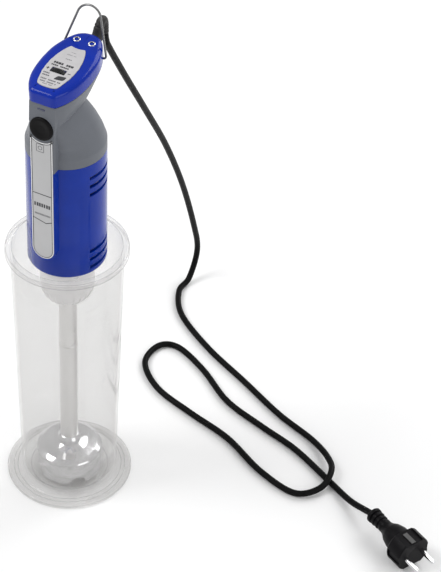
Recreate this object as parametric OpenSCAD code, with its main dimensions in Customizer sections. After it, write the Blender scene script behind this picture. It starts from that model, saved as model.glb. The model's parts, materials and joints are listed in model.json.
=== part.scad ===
// Commercial stick blender standing in its mixing beaker.
// Millimetres, +Z up. The origin is the centre of the beaker's base, on the
// table. The side with the button and the label strip faces -Y.

/* [Beaker] */
// Radius of the beaker's foot flange
beaker_foot_r = 60; // [55:1:66]
// Overall height of the beaker
beaker_h = 281; // [265:1:290]
// Outer radius of the beaker wall just above the foot
beaker_low_r = 45.5; // [42:0.5:50]
// Outer radius of the beaker wall just under the rim
beaker_top_r = 52; // [50:0.5:54]
// Outer radius of the rolled rim
beaker_rim_r = 56.5; // [55:0.5:62]
// Thickness of the beaker wall
beaker_wall = 2.2; // [1.6:0.1:3]
// Thickness of the beaker floor
beaker_floor = 3; // [2:0.5:4]
// Depth of the turned-down lip
beaker_lip = 6; // [4:0.5:9]

/* [Motor casing] */
// Outer radius of the motor casing
casing_r = 36; // [35.5:0.5:43]
// Wall thickness of the motor casing
casing_wall = 2.6; // [2:0.1:3.2]
// Height of the underside of the casing
casing_z = 272; // [268:1:275]
// Height of the seam between the lower and the upper casing
seam_z = 395; // [394:0.5:397]
// Height of the front spine's round lower end
spine_z = 295; // [288:1:305]
// Height of the spine's front face over the round casing
spine_out = 6; // [4:0.5:8]
// Half width of the front spine
spine_half_w = 11.7; // [10.5:0.1:12.5]
// Half width of the label strip
strip_half_w = 10.8; // [9:0.1:11]
// Height of one vent slot
slot_h = 3.6; // [2:0.1:4.2]
// Vertical distance from slot to slot
slot_pitch = 9.2; // [8:0.1:10]

/* [Head] */
// Height of the head's top plane on the axis
head_z = 481.5; // [480:0.5:484]
// Backward rise of the head's top plane, in degrees
head_tilt = 4.6; // [3:0.1:6]
// Depth of the blue cap
cap_h = 14; // [12:0.5:16]
// Wall thickness of the cap
cap_wall = 2.6; // [2:0.1:3.2]
// Lean of the front face around the button, in degrees
face_lean = 4; // [3:0.5:6]

/* [Button and wheel] */
// Radius of the push button
button_r = 11.2; // [9:0.1:11.6]
// Height of the button's centre
button_z = 440; // [438:0.5:442]
// Travel of the button
button_travel = 3; // [2:0.5:3]
// Radius of the speed wheel
wheel_r = 12; // [11:0.5:12.5]
// Width of the speed wheel
wheel_w = 5.6; // [4:0.1:5.8]

/* [Hanging loop] */
// Wire diameter of the hanging loop
loop_d = 2; // [1.6:0.1:3]
// Distance between the loop's two legs at their feet, centre to centre
loop_w = 43.2; // [42:0.2:48]
// Height of the loop above its pivots
loop_h = 43.3; // [36:0.1:52]
// Radius of the loop's round top
loop_top_r = 11.7; // [9:0.1:15]
// Backward lean of the loop, in degrees
loop_lean = 15; // [8:1:24]

/* [Shaft and bell] */
// Outer radius of the shaft tube
tube_r = 8.3; // [7.5:0.1:9.5]
// Wall thickness of the shaft tube
tube_wall = 1.5; // [1:0.1:2]
// Outer radius of the bell
bell_r = 31.5; // [28:0.5:34]
// Height of the bell's top above the beaker's floor
bell_h = 33.5; // [32:0.5:36]
// Radius swept by the blade
blade_r = 25; // [20:0.5:26]
// Radius of the drive shaft
drive_r = 3; // [2.5:0.1:3.5]

/* [Cord and plug] */
// Diameter of the power cord
cord_d = 6.2; // [5:0.1:7]
// Radius of the plug's round body
plug_r = 18.5; // [17:0.5:20]
// Length of the plug's contact pins
pin_len = 19; // [17:0.5:20]
// Distance between the two pins, centre to centre
pin_gap = 19; // [18:0.5:19.5]

/* [Hidden] */
$fn = 64;

// Clearance of a running fit, and the gap left round parts that pass each other.
run_fit = 0.05;
pass_gap = 0.4;
// Small overlap that makes a cut go cleanly through a face.
cut = 1;
hull_fn = 32;
// Gap between two shells at their seam, the lip that hides the gasket, and
// how far the gasket reaches to each side of the seam.
seam_gap = 0.1;
seam_lip = 1.2;
gasket_h = 0.5;

// Colours.
blue = [0.02, 0.13, 0.42];
grey = [0.33, 0.34, 0.36];
pale = [0.72, 0.73, 0.74];
steel = [0.75, 0.76, 0.78];
black = [0.04, 0.04, 0.045];
copper = [0.72, 0.36, 0.16];

clear = [0.8, 0.85, 0.88, 0.35];

// Beaker: inner radius just above the foot, and thickness of the foot.
beaker_in_r = beaker_low_r - beaker_wall;
foot_t = beaker_floor + 0.4;

// Shaft line.
shaft_floor_z = beaker_floor;
bell_top_z = shaft_floor_z + bell_h;
bell_rim_z = shaft_floor_z + 0.78 * bell_h;
bell_wall = 1.6;
skirt_r = bell_r - 1.1;
skirt_in = skirt_r - bell_wall;
bell_hub_r = tube_r + 3.7;
bell_hub_z = bell_top_z - 8.5;
tube_in_r = tube_r - tube_wall;
tube_top_z = 236;
collar_h = 8;
drive_low_z = shaft_floor_z + 5.5;
drive_top_z = 258;
blade_z = shaft_floor_z + 9;
blade_t = 1.8;

// Nose cone under the casing.
nose_flange_r = casing_r - 4;
nose_r = nose_flange_r - 7;
nose_z = 219;
nose_flange_z = casing_z - 5;
nose_ribs = 24;
nose_screw_r = nose_flange_r - 3.5;

// Motor, from bottom to top.
motor_r = 4;
lower_bracket_z = casing_z + 7;
fan_z = lower_bracket_z + 10;
stator_z = 308;
stator_h = 40;
stator_in_r = 17.6;
stator_out_r = casing_r - casing_wall - 2.4;
rotor_r = stator_in_r - 0.4;
coil_y = 22.5;
coil_half_w = 13;
commutator_z = 360;
commutator_r = 11;
brush_z = 367;
upper_bracket_z = 379;
motor_top_z = 390;
bearing_r = 9.5;
bearing_h = 7;
coupling_z = drive_top_z - 6;
coupling_h = 14;

// The two screws that hold the casings together.
screw_x = 26;
screw_y = 10;
screw_r = 1.6;
screw_bite = 13;
lug_h = 10;

// Head frame: local origin on the head's top plane, local +Z out of it.
label_t = 0.6;
gasket_t = 0.8;
gasket_out_k = 0.95;
// Half width of the head's outline and the place along Y where it holds.
head_outline = [
    [12.2, -41.6], [13.4, -40.4], [18, -32], [21.8, -21], [23.6, -8], [24, 5], [23, 16],
    [20.4, 26], [16.4, 36], [12, 42.4], [6.5, 46], [2, 47.2]
];
// Half width of the label on the head's top and the place along Y where it holds.
label_outline = [
    [3, -33.4], [6.5, -32.9], [9.4, -31.5], [12.2, -22], [14, -13], [14.4, -6], [13.9, 1],
    [12.6, 8], [9.4, 18], [6.9, 22.7], [3.5, 21.6]
];
window_x = -0.4;
window_y = -11.2;
wheel_out = 1.2;
wheel_z = label_t + wheel_out - wheel_r;
window_w = 2 * sqrt(pow(wheel_r + pass_gap, 2) - pow(wheel_z, 2)) + 0.2;
window_d = wheel_w + 2 * pass_gap;
wheel_grooves = 36;
axle_r = 3;
pot_y = window_y + window_d / 2 + 1.2;
cap_screw_x = 7.3;
cap_screw_y = 33;
loop_y = 33;
loop_z = 473.2;
loop_foot_x = 12;
loop_bush_r = loop_d / 2 + 1;
board_z = -cap_h - 1.6;
board_y = 4;
clamp_y = 37.9;
clamp_screw_x = 3.6;

// Front face: vertical up to lean_z, then leaning back.
spine_y = casing_r + spine_out;
lean_z = 428;
face_top_z = 465;
button_gap = 0.3;
button_proud = 2.6;
button_t = 6;
indicator_x = -1;
indicator_z = 459;

// Strain relief: places on the plane x = 0 as [y, z, radius].
boot_route = [
    [40.2, 473.8, 6], [43, 473.4, 5.9], [46.6, 473, 5.7], [50, 472.8, 5.5], [53.2, 473.6, 5.3],
    [55.8, 475.6, 5.1], [57.6, 478.6, 5], [58.8, 481.8, 4.8], [60.2, 484.8, 4.4],
    [62.2, 487, 4.1], [64.6, 487.6, 3.9], [66.8, 486.2, 3.8], [68.2, 483.4, 3.7],
    [68.9, 479.6, 3.6], [69.2, 475.6, 3.5], [69.4, 471.6, 3.5]
];

// Power cord, from the strain relief to the plug: centreline points laid by
// hand, first through the air, then along the table, up and over its own first
// loop and into the plug.
cord_z = cord_d / 2;
cord_points = [
    [0, 69.4, 471.6], [-0.3, 71.8, 462], [-1, 79, 448.6], [-4, 116, 392], [-8, 162, 324],
    [-13, 216, 243],
    [-17, 262, 161], [-20, 297, 82], [-21.5, 311, 36], [-23, 297, 6.4], [-24, 276, cord_z],
    [-4, 244, cord_z], [43, 212, cord_z], [98, 185, cord_z], [150, 159, cord_z],
    [194, 142, 3.8], [220, 124, 7], [232, 106, 9.6], [231, 83, 6.4], [210, 68, cord_z],
    [168, 79, cord_z], [120, 104, cord_z], [72, 118, cord_z], [26, 134, cord_z],
    [-3, 161, cord_z], [-3, 190, cord_z], [16, 198, cord_z], [54, 180, cord_z],
    [96, 151, cord_z], [143, 135, cord_z], [186, 122, cord_z], [231, 100, cord_z],
    [262, 82.5, 6], [284, 70.5, 14], [294, 65.1, plug_r]
];
cord_steps = 2;
cord_sides = 8;

// Plug: lies on the table, its axis turned about Z.
plug_pos = cord_points[len(cord_points) - 1];
plug_turn = -28;
plug_relief = 24;
plug_len = 38;
flange_len = 19;
contact_z = plug_r - 4.4;
pin_r = 2.4;

function turn_of(a, b) = (b - a) / norm(b - a);
function scaled(outline, k) = [for (p = outline) [p[0] * k, p[1] * k]];
function both_sides(outline) = concat(
    [for (p = outline) [p[0], p[1]]],
    [for (i = [len(outline) - 1:-1:0]) [-outline[i][0], outline[i][1]]]
);
// Points of the front face at height z.
function face_y(z) = -spine_y + max(0, z - lean_z) * tan(face_lean);

// Direction of travel at point i of a route.
function heading(route, i) =
    turn_of(route[max(i - 1, 0)], route[min(i + 1, len(route) - 1)]);
// Side direction at each point of a route, carried along so that it never twists.
function flattened(side, ahead) = turn_of([0, 0, 0], side - (side * ahead) * ahead);
function carried(route, i = 0, side = [0.6, 0.8, 0]) =
    i >= len(route) ? [] :
    let (here = flattened(side, heading(route, i)))
    concat([here], carried(route, i + 1, here));
// Ring of points round a route's point, square to its direction.
function ring_at(centre, ahead, side, r, sides) =
    let (over = cross(side, ahead))
    [for (k = [0:sides - 1]) centre + r * (cos(360 * k / sides) * side + sin(360 * k / sides) * over)];

// Point at share t of the smooth curve from p1 to p2, which p0 and p3 steer.
function curve_at(p0, p1, p2, p3, t) = 0.5 * (
    2 * p1 + t * (p2 - p0) + t * t * (2 * p0 - 5 * p1 + 4 * p2 - p3)
    + t * t * t * (3 * p1 - p0 - 3 * p2 + p3));
// Points on the smooth curve through all of the given points.
function smoothed(points, steps) =
    let (last = len(points) - 1)
    concat([for (i = [0:last - 1], k = [0:steps - 1])
        curve_at(points[max(i - 1, 0)], points[i], points[i + 1], points[min(i + 2, last)], k / steps)],
        [points[last]]);

// Closed tube along a route, with one radius for each point.
module swept(route, radii, sides) {
    n = len(route);
    side = carried(route);
    rings = [for (i = [0:n - 1]) ring_at(route[i], heading(route, i), side[i], radii[i], sides)];
    sides_faces = [
        for (i = [0:n - 2], k = [0:sides - 1])
            [i * sides + k, i * sides + (k + 1) % sides, (i + 1) * sides + (k + 1) % sides,
                (i + 1) * sides + k]
    ];
    start_face = [for (k = [sides - 1:-1:0]) k];
    end_face = [for (k = [0:sides - 1]) (n - 1) * sides + k];
    polyhedron([for (r = rings) for (p = r) p], concat([start_face], sides_faces, [end_face]), 4);
}

// Places its children in the head's tilted frame.
module in_head() {
    translate([0, 0, head_z]) rotate([head_tilt, 0, 0]) children();
}

// Places its children at the button, local -Y out of the front face.
module at_face(z) {
    translate([0, face_y(z), z]) rotate([-face_lean, 0, 0]) children();
}

// Disc or ring with its axis along Y, from y0 to y1.
module barrel_y(r, y0, y1) {
    translate([0, y1, 0]) rotate([90, 0, 0]) cylinder(r = r, h = y1 - y0);
}

module ring_z(r_out, r_in, z0, z1) {
    rotate_extrude() translate([r_in, z0]) square([r_out - r_in, z1 - z0]);
}

module box_from(low, high) {
    translate(low) cube(high - low);
}

module beaker() {
    inner_top = beaker_top_r - beaker_wall;
    shoulder_z = 9;
    color(clear)
    rotate_extrude($fn = 96) polygon([
        [beaker_in_r - 2.5, foot_t], [beaker_low_r + 3, foot_t], [beaker_low_r + 1, foot_t + 2],
        [beaker_low_r, shoulder_z], [beaker_top_r, beaker_h - 5], [beaker_rim_r - 3, beaker_h - 3.4],
        [beaker_rim_r - 1.6, beaker_h - beaker_lip], [beaker_rim_r, beaker_h - beaker_lip],
        [beaker_rim_r, beaker_h - 1.6], [beaker_rim_r - 1.6, beaker_h],
        [inner_top + 1.4, beaker_h], [inner_top, beaker_h - 2],
        [beaker_in_r, shoulder_z]
    ]);
}

// Moulded foot with a shallow well, welded on under the beaker's wall.
module beaker_foot() {
    color(clear)
    rotate_extrude($fn = 96) polygon([
        [0, 0], [beaker_foot_r, 0], [beaker_foot_r, foot_t - 1], [beaker_foot_r - 4, foot_t],
        [beaker_in_r - 2.5, foot_t], [beaker_in_r - 3, beaker_floor], [0, beaker_floor]
    ]);
}

module spine_block(z0, z1, half_w) {
    difference() {
        union() {
            box_from([-half_w, -spine_y, z0 + half_w], [half_w, -casing_r + 6, z1]);
            translate([0, 0, z0 + half_w]) barrel_y(half_w, -spine_y, -casing_r + 6);
        }
        translate([0, 0, z0 - cut]) cylinder(r = casing_r - casing_wall, h = z1 - z0 + 2 * cut);
    }
}

module vent_slots() {
    slot_from = 64;
    slot_to = 118;
    tops = [casing_z + 9 + 2 * slot_pitch, seam_z - 13];
    for (top = tops, i = [0:2], side = [0, 1])
        mirror([side, 0, 0])
        translate([0, 0, top - i * slot_pitch - slot_h])
        rotate([0, 0, slot_from - 90])
        rotate_extrude(angle = slot_to - slot_from)
        translate([casing_r - casing_wall - cut, 0]) square([casing_wall + 2 * cut, slot_h]);
}

// Lugs inside the casing wall round the two casing screws, from z0 to z1.
module screw_lugs(z0, z1) {
    intersection() {
        translate([0, 0, z0]) cylinder(r = casing_r - seam_lip - 0.1, h = z1 - z0);
        for (side = [0, 1]) mirror([side, 0, 0])
            box_from([screw_x - 4.5, screw_y - 4.5, z0], [casing_r, screw_y + 4.5, z1]);
    }
}

module lower_casing() {
    floor_t = 3;
    edge = 2;
    color(blue)
    difference() {
        union() {
            rotate_extrude($fn = 96) polygon([
                [nose_flange_r - 8, casing_z], [casing_r - edge, casing_z],
                [casing_r - 0.6, casing_z + 0.6], [casing_r, casing_z + edge],
                [casing_r, seam_z - seam_gap], [casing_r - seam_lip, seam_z - seam_gap],
                [casing_r - seam_lip, seam_z - gasket_h], [casing_r - casing_wall, seam_z - gasket_h],
                [casing_r - casing_wall, casing_z + floor_t], [nose_flange_r - 8, casing_z + floor_t]
            ]);
            spine_block(spine_z, seam_z - seam_gap, spine_half_w);
            screw_lugs(seam_z - lug_h, seam_z - gasket_h);
        }
        vent_slots();
        for (x = [-screw_x, screw_x]) translate([x, screw_y, seam_z - lug_h - cut])
            cylinder(r = screw_r + 0.1, h = lug_h + cut);
        translate([0, 0, seam_z - gasket_h]) cylinder(r = casing_r - seam_lip, h = cut);
        for (a = [45:90:315]) rotate([0, 0, a]) translate([nose_screw_r, 0, casing_z - cut])
            cylinder(r = 1.6, h = floor_t + 2 * cut);
    }
}

// Slice through the neck, drawn in by inset.
module neck_section(z0, h, inset = 0) {
    half_w = 11.8 - inset;
    translate([0, 0, z0]) {
        translate([0, 1.5, 0]) cylinder(r = 15 - inset, h = h, $fn = hull_fn);
        box_from([-half_w, face_y(z0) + 4 + inset, 0], [half_w, -30, h]);
    }
}

module head_slab(k, z0, h) {
    translate([0, 0, z0]) linear_extrude(height = h) polygon(both_sides(scaled(head_outline, k)));
}

// Ridge that carries the button, from the seam to the cap.
module face_ridge() {
    top_half_w = 12.9;
    hull() {
        box_from([-spine_half_w, -spine_y, seam_z + seam_gap], [spine_half_w, -28, seam_z + 2]);
        box_from([-12.6, -spine_y, lean_z - 1], [12.6, -28, lean_z]);
        box_from([-top_half_w, face_y(face_top_z), face_top_z - 2], [top_half_w, -28, face_top_z - 1]);
    }
}

module upper_casing() {
    shoulder_z = 403;
    neck_z = 443;
    boss_top_z = 410;
    inner_r = casing_r - casing_wall;
    color(grey)
    difference() {
        union() {
            difference() {
                union() {
                    translate([0, 0, seam_z + seam_gap])
                        cylinder(r = casing_r, h = shoulder_z - seam_z - seam_gap, $fn = 96);
                    hull() {
                        translate([0, 0, shoulder_z - 2]) cylinder(r = casing_r - 0.1, h = 1.6, $fn = 48);
                        translate([0, -0.4, 413]) cylinder(r = casing_r - 2.4, h = 1, $fn = hull_fn);
                        translate([0, -1.5, 430]) cylinder(r = casing_r - 10.5, h = 1, $fn = hull_fn);
                        neck_section(neck_z, 3);
                    }
                    face_ridge();
                    hull() {
                        neck_section(neck_z + 1, 1, 0.3);
                        in_head() head_slab(0.985, -cap_h - gasket_t - 5, 1);
                        in_head() head_slab(0.995, -cap_h - seam_gap - 1, 1);
                    }
                }
                rotate_extrude() polygon([
                    [0, seam_z - cut], [inner_r, seam_z - cut], [inner_r, shoulder_z],
                    [inner_r - 3, 412], [20, 428], [10, 440], [10, 475], [0, 475]
                ]);
                hull() {
                    in_head() head_slab(0.86, -cap_h - gasket_t - cut, 3);
                    translate([0, 0, 452]) cylinder(r = 10, h = 1, $fn = hull_fn);
                }
                in_head() wheel_clearance();
            }
            screw_lugs(seam_z + gasket_h, shoulder_z);
            for (x = [-screw_x, screw_x]) translate([x, screw_y, shoulder_z - 1])
                cylinder(r = 4.2, h = boss_top_z - shoulder_z + 1);
        }
        at_face(button_z) {
            barrel_y(button_r + button_gap, -8, 8.5);
            box_from([-9.5, 8, -7.5], [9.5, 34, 7.5]);
        }
        translate([indicator_x, 0, 0]) at_face(indicator_z) box_from([-3.85, -8, -0.9], [3.85, 6, 0.9]);
        translate([0, 0, seam_z - cut]) cylinder(r = casing_r - seam_lip, h = cut + gasket_h);
        in_head() head_slab(gasket_out_k + 0.005, -cap_h - gasket_t, gasket_t + cut);
        for (x = [-screw_x, screw_x]) translate([x, screw_y, seam_z - cut])
            cylinder(r = screw_r - 0.1, h = screw_bite + 2 * cut);
    }
}

module casing_gasket() {
    color(black) ring_z(casing_r - seam_lip, casing_r - casing_wall, seam_z - gasket_h, seam_z + gasket_h);
}

// Room round the speed wheel, in the head's frame.
module wheel_clearance() {
    translate([window_x, window_y, wheel_z])
        barrel_y(wheel_r + pass_gap, -window_d / 2, window_d / 2);
}

module head_cap() {
    in_k = 1 - 2 * cap_wall / 48;
    color(blue)
    difference() {
        in_head() difference() {
            hull() {
                head_slab(1, -cap_h, 1);
                head_slab(1, -4, 1);
                head_slab(0.985, -1.6, 0.6);
                head_slab(0.945, -0.5, 0.5);
            }
            difference() {
                head_slab(in_k, -cap_h - cut, cap_h + cut - cap_wall);
                for (x = [-cap_screw_x, cap_screw_x])
                    translate([x, cap_screw_y, -cap_h - cut]) cylinder(r = 3.6, h = cap_h);
            }
            box_from([window_x - window_w / 2, window_y - window_d / 2, -cap_wall - cut],
                [window_x + window_w / 2, window_y + window_d / 2, cut]);
            wheel_clearance();
            for (x = [-cap_screw_x, cap_screw_x]) translate([x, cap_screw_y, 0]) {
                translate([0, 0, -cap_h - cut]) cylinder(r = 1.5, h = cap_h + 2 * cut);
                translate([0, 0, -1.4]) cylinder(r = 3.5, h = 2 * cut + 1.4);
            }
        }
        for (side = [0, 1]) mirror([side, 0, 0]) translate([loop_foot_x, loop_y, loop_z])
            rotate([0, 90, 0]) cylinder(r = loop_bush_r, h = loop_w);
    }
}

module cap_gasket() {
    color(black) in_head() difference() {
        head_slab(gasket_out_k, -cap_h - gasket_t, gasket_t);
        head_slab(gasket_out_k - 0.05, -cap_h - gasket_t - cut, gasket_t + 2 * cut);
    }
}

module head_label() {
    color(steel) in_head() difference() {
        linear_extrude(height = label_t) polygon(both_sides(label_outline));
        box_from([window_x - window_w / 2, window_y - window_d / 2, -cut],
            [window_x + window_w / 2, window_y + window_d / 2, cut]);
    }
}

module cap_screws() {
    color(steel) in_head() for (x = [-cap_screw_x, cap_screw_x]) translate([x, cap_screw_y, 0])
        difference() {
            union() {
                translate([0, 0, -1.4]) cylinder(r = 3.25, h = 2);
                translate([0, 0, -12]) cylinder(r = 1.5, h = 11);
            }
            cylinder(r = 1.5, h = 3, $fn = 6);
        }
}

// Label strip on the spine, its top hollowed to follow the button.
module front_strip() {
    half_w = strip_half_w;
    low_z = spine_z + spine_half_w - half_w + 0.9;
    strip_t = 0.5;
    color(pale) difference() {
        union() {
            box_from([-half_w, -spine_y - strip_t, low_z + half_w], [half_w, -spine_y, lean_z - 1]);
            translate([0, 0, low_z + half_w]) barrel_y(half_w, -spine_y - strip_t, -spine_y);
        }
        translate([0, 0, button_z]) barrel_y(button_r + 3, -spine_y - 2, -spine_y + 2);
    }
}

module indicator_lens() {
    color(blue) translate([indicator_x, 0, 0]) at_face(indicator_z)
        box_from([-3.85, -0.3, -0.9], [3.85, 4, 0.9]);
}

module button() {
    stem_r = 3;
    color(black) at_face(button_z) {
        difference() {
            union() {
                barrel_y(button_r, -button_proud + 0.8, -button_proud + button_t);
                barrel_y(button_r - 0.9, -button_proud, -button_proud + 0.9);
            }
            barrel_y(button_r - 2.2, 0, button_t);
        }
        barrel_y(stem_r, -cut, 7.4);
    }
}

module button_seal() {
    color(black) at_face(button_z) difference() {
        barrel_y(button_r + button_gap, 7.6, 8.4);
        barrel_y(3.3, 7, 9);
    }
}

// Coil spring round the button's stem.
module button_spring() {
    turns = 4;
    steps = 12;
    n = turns * steps;
    coil_r = 4.6;
    wire_r = 0.4;
    route = [for (i = [0:n])
        [coil_r * cos(360 * i / steps), 0.8 + 6 * i / n, coil_r * sin(360 * i / steps)]];
    color(steel) at_face(button_z) swept(route, [for (i = [0:n]) wire_r], 6);
}

module micro_switch() {
    color(black) at_face(button_z) box_from([-8, 11.4, -4], [8, 17.4, 4]);
    color(steel) at_face(button_z) barrel_y(1.2, 10.8, 11.4);
}

module switch_bracket() {
    color(steel) at_face(button_z) box_from([-8.5, 17.4, -6], [8.5, 18.6, 6]);
}

module speed_wheel() {
    bore_r = axle_r;
    color(black) in_head() translate([window_x, window_y, wheel_z]) difference() {
        barrel_y(wheel_r, -wheel_w / 2, wheel_w / 2);
        barrel_y(bore_r, -wheel_w, wheel_w);
        for (i = [0:wheel_grooves - 1]) rotate([0, 360 * i / wheel_grooves, 0])
            translate([wheel_r, wheel_w, 0]) rotate([90, 0, 0]) cylinder(r = 0.42, h = 2 * wheel_w, $fn = 6);
    }
}

module wheel_axle() {
    color(steel) in_head() translate([window_x, 0, wheel_z])
        barrel_y(axle_r, window_y - wheel_w / 2 - 1.5, pot_y + 6);
}

module potentiometer() {
    color([0.2, 0.25, 0.5]) in_head() translate([window_x, 0, wheel_z]) difference() {
        union() {
            box_from([-8, pot_y, -8], [8, pot_y + 8, 7.6]);
        }
        barrel_y(axle_r + run_fit, pot_y - cut, pot_y + 6.5);
    }
}

module control_board() {
    color([0.05, 0.3, 0.12]) in_head() box_from([-14, board_y, board_z], [14, board_y + 22, board_z + 1.6]);
}

module suppression_capacitor() {
    color([0.75, 0.62, 0.15]) in_head()
        box_from([-12, board_y + 2, board_z + 1.6], [6, board_y + 9, board_z + 10.6]);
}

module triac_heatsink() {
    base_z = board_z + 1.6;
    color(steel) in_head() {
        box_from([8, board_y + 1, base_z], [9.2, board_y + 15, base_z + 9]);
        box_from([9.2, board_y + 5, base_z], [13.2, board_y + 11, base_z + 7]);
    }
}

module terminal_block() {
    color([0.85, 0.85, 0.8]) in_head() difference() {
        box_from([-8, board_y + 12, board_z + 1.6], [5, board_y + 20, board_z + 9.6]);
        for (i = [0:2]) translate([-5.9 + i * 4.4, board_y + 16, board_z + 4]) cylinder(r = 1.3, h = 8);
    }
}

module cord_clamp() {
    color(black) in_head() difference() {
        box_from([-5, clamp_y - 1.3, -cap_h + 0.4], [5, clamp_y + 1.2, -cap_h + 4.4]);
        for (x = [-clamp_screw_x, clamp_screw_x]) translate([x, clamp_y, -cap_h]) cylinder(r = 0.8, h = 6);
    }
}

module clamp_screws() {
    color(steel) in_head() for (x = [-clamp_screw_x, clamp_screw_x]) translate([x, clamp_y, 0]) {
        translate([0, 0, -cap_h + 4.4]) cylinder(r = 1.2, h = 1);
        translate([0, 0, -cap_h + 0.4]) cylinder(r = 0.8, h = 4);
    }
}

module strain_relief() {
    color([0.13, 0.13, 0.14]) swept([for (p = boot_route) [0, p[0], p[1]]], [for (p = boot_route) p[2]], 24);
}

// Wire loop, drawn upright in its own plane at the pivots and leaned back: feet
// that turn in, legs that draw together, and a round top that they run into.
module hanging_loop() {
    corner = 2.2;
    corner_steps = 8;
    top_steps = 24;
    foot_x = loop_w / 2;
    hub_z = loop_h - loop_top_r;
    draw_in = atan(foot_x / hub_z) - asin(loop_top_r / norm([foot_x, hub_z]));
    bend = corner * tan(45 + draw_in / 2);
    half = concat([[loop_foot_x, 0, 0], [foot_x - bend, 0, 0]],
        [for (i = [1:corner_steps]) let (a = (90 + draw_in) * i / corner_steps - 90)
            [foot_x - bend + corner * cos(a), 0, corner + corner * sin(a)]]);
    top = [for (i = [0:top_steps]) let (a = draw_in + (180 - 2 * draw_in) * i / top_steps)
        [loop_top_r * cos(a), 0, hub_z + loop_top_r * sin(a)]];
    route = concat(half, top, [for (i = [len(half) - 1:-1:0]) [-half[i][0], 0, half[i][2]]]);
    color(steel) translate([0, loop_y, loop_z]) rotate([-loop_lean, 0, 0])
        swept(route, [for (p = route) loop_d / 2], 16);
}

module loop_bushes() {
    bush_len = 5;
    color(black) for (side = [0, 1]) mirror([side, 0, 0])
        translate([loop_foot_x + 0.4, loop_y, loop_z]) rotate([0, 90, 0]) difference() {
            cylinder(r = loop_bush_r, h = bush_len);
            translate([0, 0, -cut]) cylinder(r = loop_d / 2 + run_fit, h = bush_len + 2 * cut);
        }
}

// Spider that carries a bearing: hub, ring and four arms.
module bracket(z, hub_r, hub_h, bore_r, ring_r) {
    t = 3;
    difference() {
        union() {
            ring_z(ring_r, ring_r - 3, z, z + t);
            for (a = [0:90:270]) rotate([0, 0, a]) box_from([-4, 0, z], [4, ring_r - 1, z + t]);
            translate([0, 0, z]) cylinder(r = hub_r, h = hub_h);
        }
        translate([0, 0, z - cut]) cylinder(r = bore_r, h = hub_h + 2 * cut);
    }
}

// Ball bearing: outer ring with shields, bored for the motor shaft.
module bearing(z) {
    color(steel) rotate_extrude() polygon([
        [motor_r + run_fit, z], [bearing_r - 3, z], [bearing_r - 2.4, z + 0.5], [bearing_r, z],
        [bearing_r, z + bearing_h], [bearing_r - 2.4, z + bearing_h - 0.5],
        [bearing_r - 3, z + bearing_h], [motor_r + run_fit, z + bearing_h]
    ]);
}

module upper_bracket() {
    color(steel) bracket(upper_bracket_z, bearing_r + 2.5, bearing_h + 1, bearing_r, casing_r - casing_wall);
}

module upper_bearing() { bearing(upper_bracket_z + 0.5); }

module lower_bracket() {
    color(steel) bracket(lower_bracket_z, bearing_r + 2.5, bearing_h + 1, bearing_r, casing_r - casing_wall);
}

module lower_bearing() { bearing(lower_bracket_z + 0.5); }

module stator_core() {
    color([0.45, 0.45, 0.47]) difference() {
        ring_z(stator_out_r, stator_in_r, stator_z, stator_z + stator_h);
        for (side = [-1, 1]) box_from([-coil_half_w, side * coil_y - 2.4, stator_z - cut],
            [coil_half_w, side * coil_y + 2.4, stator_z + stator_h + cut]);
    }
}

// Two field coils: a half turn of wire at each end, joined through the slots.
module field_coils() {
    coil_t = 6.5;
    color(copper) for (end = [stator_z - coil_t, stator_z + stator_h])
        ring_z(stator_out_r - 3, stator_in_r + 1.4, end, end + coil_t);
    color(copper) for (side = [-1, 1])
        box_from([-coil_half_w + 0.4, side * coil_y - 2, stator_z - 1],
            [coil_half_w - 0.4, side * coil_y + 2, stator_z + stator_h + 1]);
}

module brush_holders() {
    color([0.62, 0.5, 0.2]) for (side = [0, 1]) mirror([side, 0, 0]) difference() {
        box_from([14, -4.4, brush_z - 5.4], [31, 4.4, brush_z + 5.4]);
        box_from([13, -3.2, brush_z - 4.2], [29.5, 3.2, brush_z + 4.2]);
    }
}

module carbon_brushes() {
    color([0.12, 0.12, 0.12]) for (side = [0, 1]) mirror([side, 0, 0]) difference() {
        box_from([9, -3.1, brush_z - 4.1], [21, 3.1, brush_z + 4.1]);
        translate([0, 0, brush_z - 6]) cylinder(r = commutator_r + run_fit, h = 12);
    }
}

module brush_springs() {
    turns = 5;
    steps = 10;
    n = turns * steps;
    color(steel) for (side = [0, 1]) mirror([side, 0, 0])
        swept([for (i = [0:n]) [21.6 + 7.4 * i / n, 2.2 * cos(360 * i / steps),
            brush_z + 2.2 * sin(360 * i / steps)]], [for (i = [0:n]) 0.35], 6);
}

module rotor_core() {
    slots = 12;
    color([0.5, 0.5, 0.52]) difference() {
        ring_z(rotor_r, motor_r, stator_z + 1, stator_z + stator_h - 1);
        for (i = [0:slots - 1]) rotate([0, 0, 360 * i / slots])
            box_from([rotor_r - 6, -1, stator_z], [rotor_r + 1, 1, stator_z + stator_h]);
    }
}

module rotor_windings() {
    slots = 12;
    color(copper) {
        ring_z(rotor_r - 2, motor_r, stator_z - 4.5, stator_z + 1);
        ring_z(rotor_r - 2, motor_r, stator_z + stator_h - 1, stator_z + stator_h + 5);
        for (i = [0:slots - 1]) rotate([0, 0, 360 * i / slots])
            box_from([rotor_r - 5.6, -0.9, stator_z], [rotor_r - 0.8, 0.9, stator_z + stator_h]);
    }
}

module commutator() {
    bars = 24;
    color(copper) difference() {
        ring_z(commutator_r, motor_r, commutator_z, commutator_z + 14);
        for (i = [0:bars - 1]) rotate([0, 0, 360 * i / bars])
            box_from([commutator_r - 1, -0.25, commutator_z - cut], [commutator_r + 1, 0.25, commutator_z + 15]);
    }
}

module motor_shaft() {
    color(steel) translate([0, 0, drive_top_z]) cylinder(r = motor_r, h = motor_top_z - drive_top_z);
}

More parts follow.
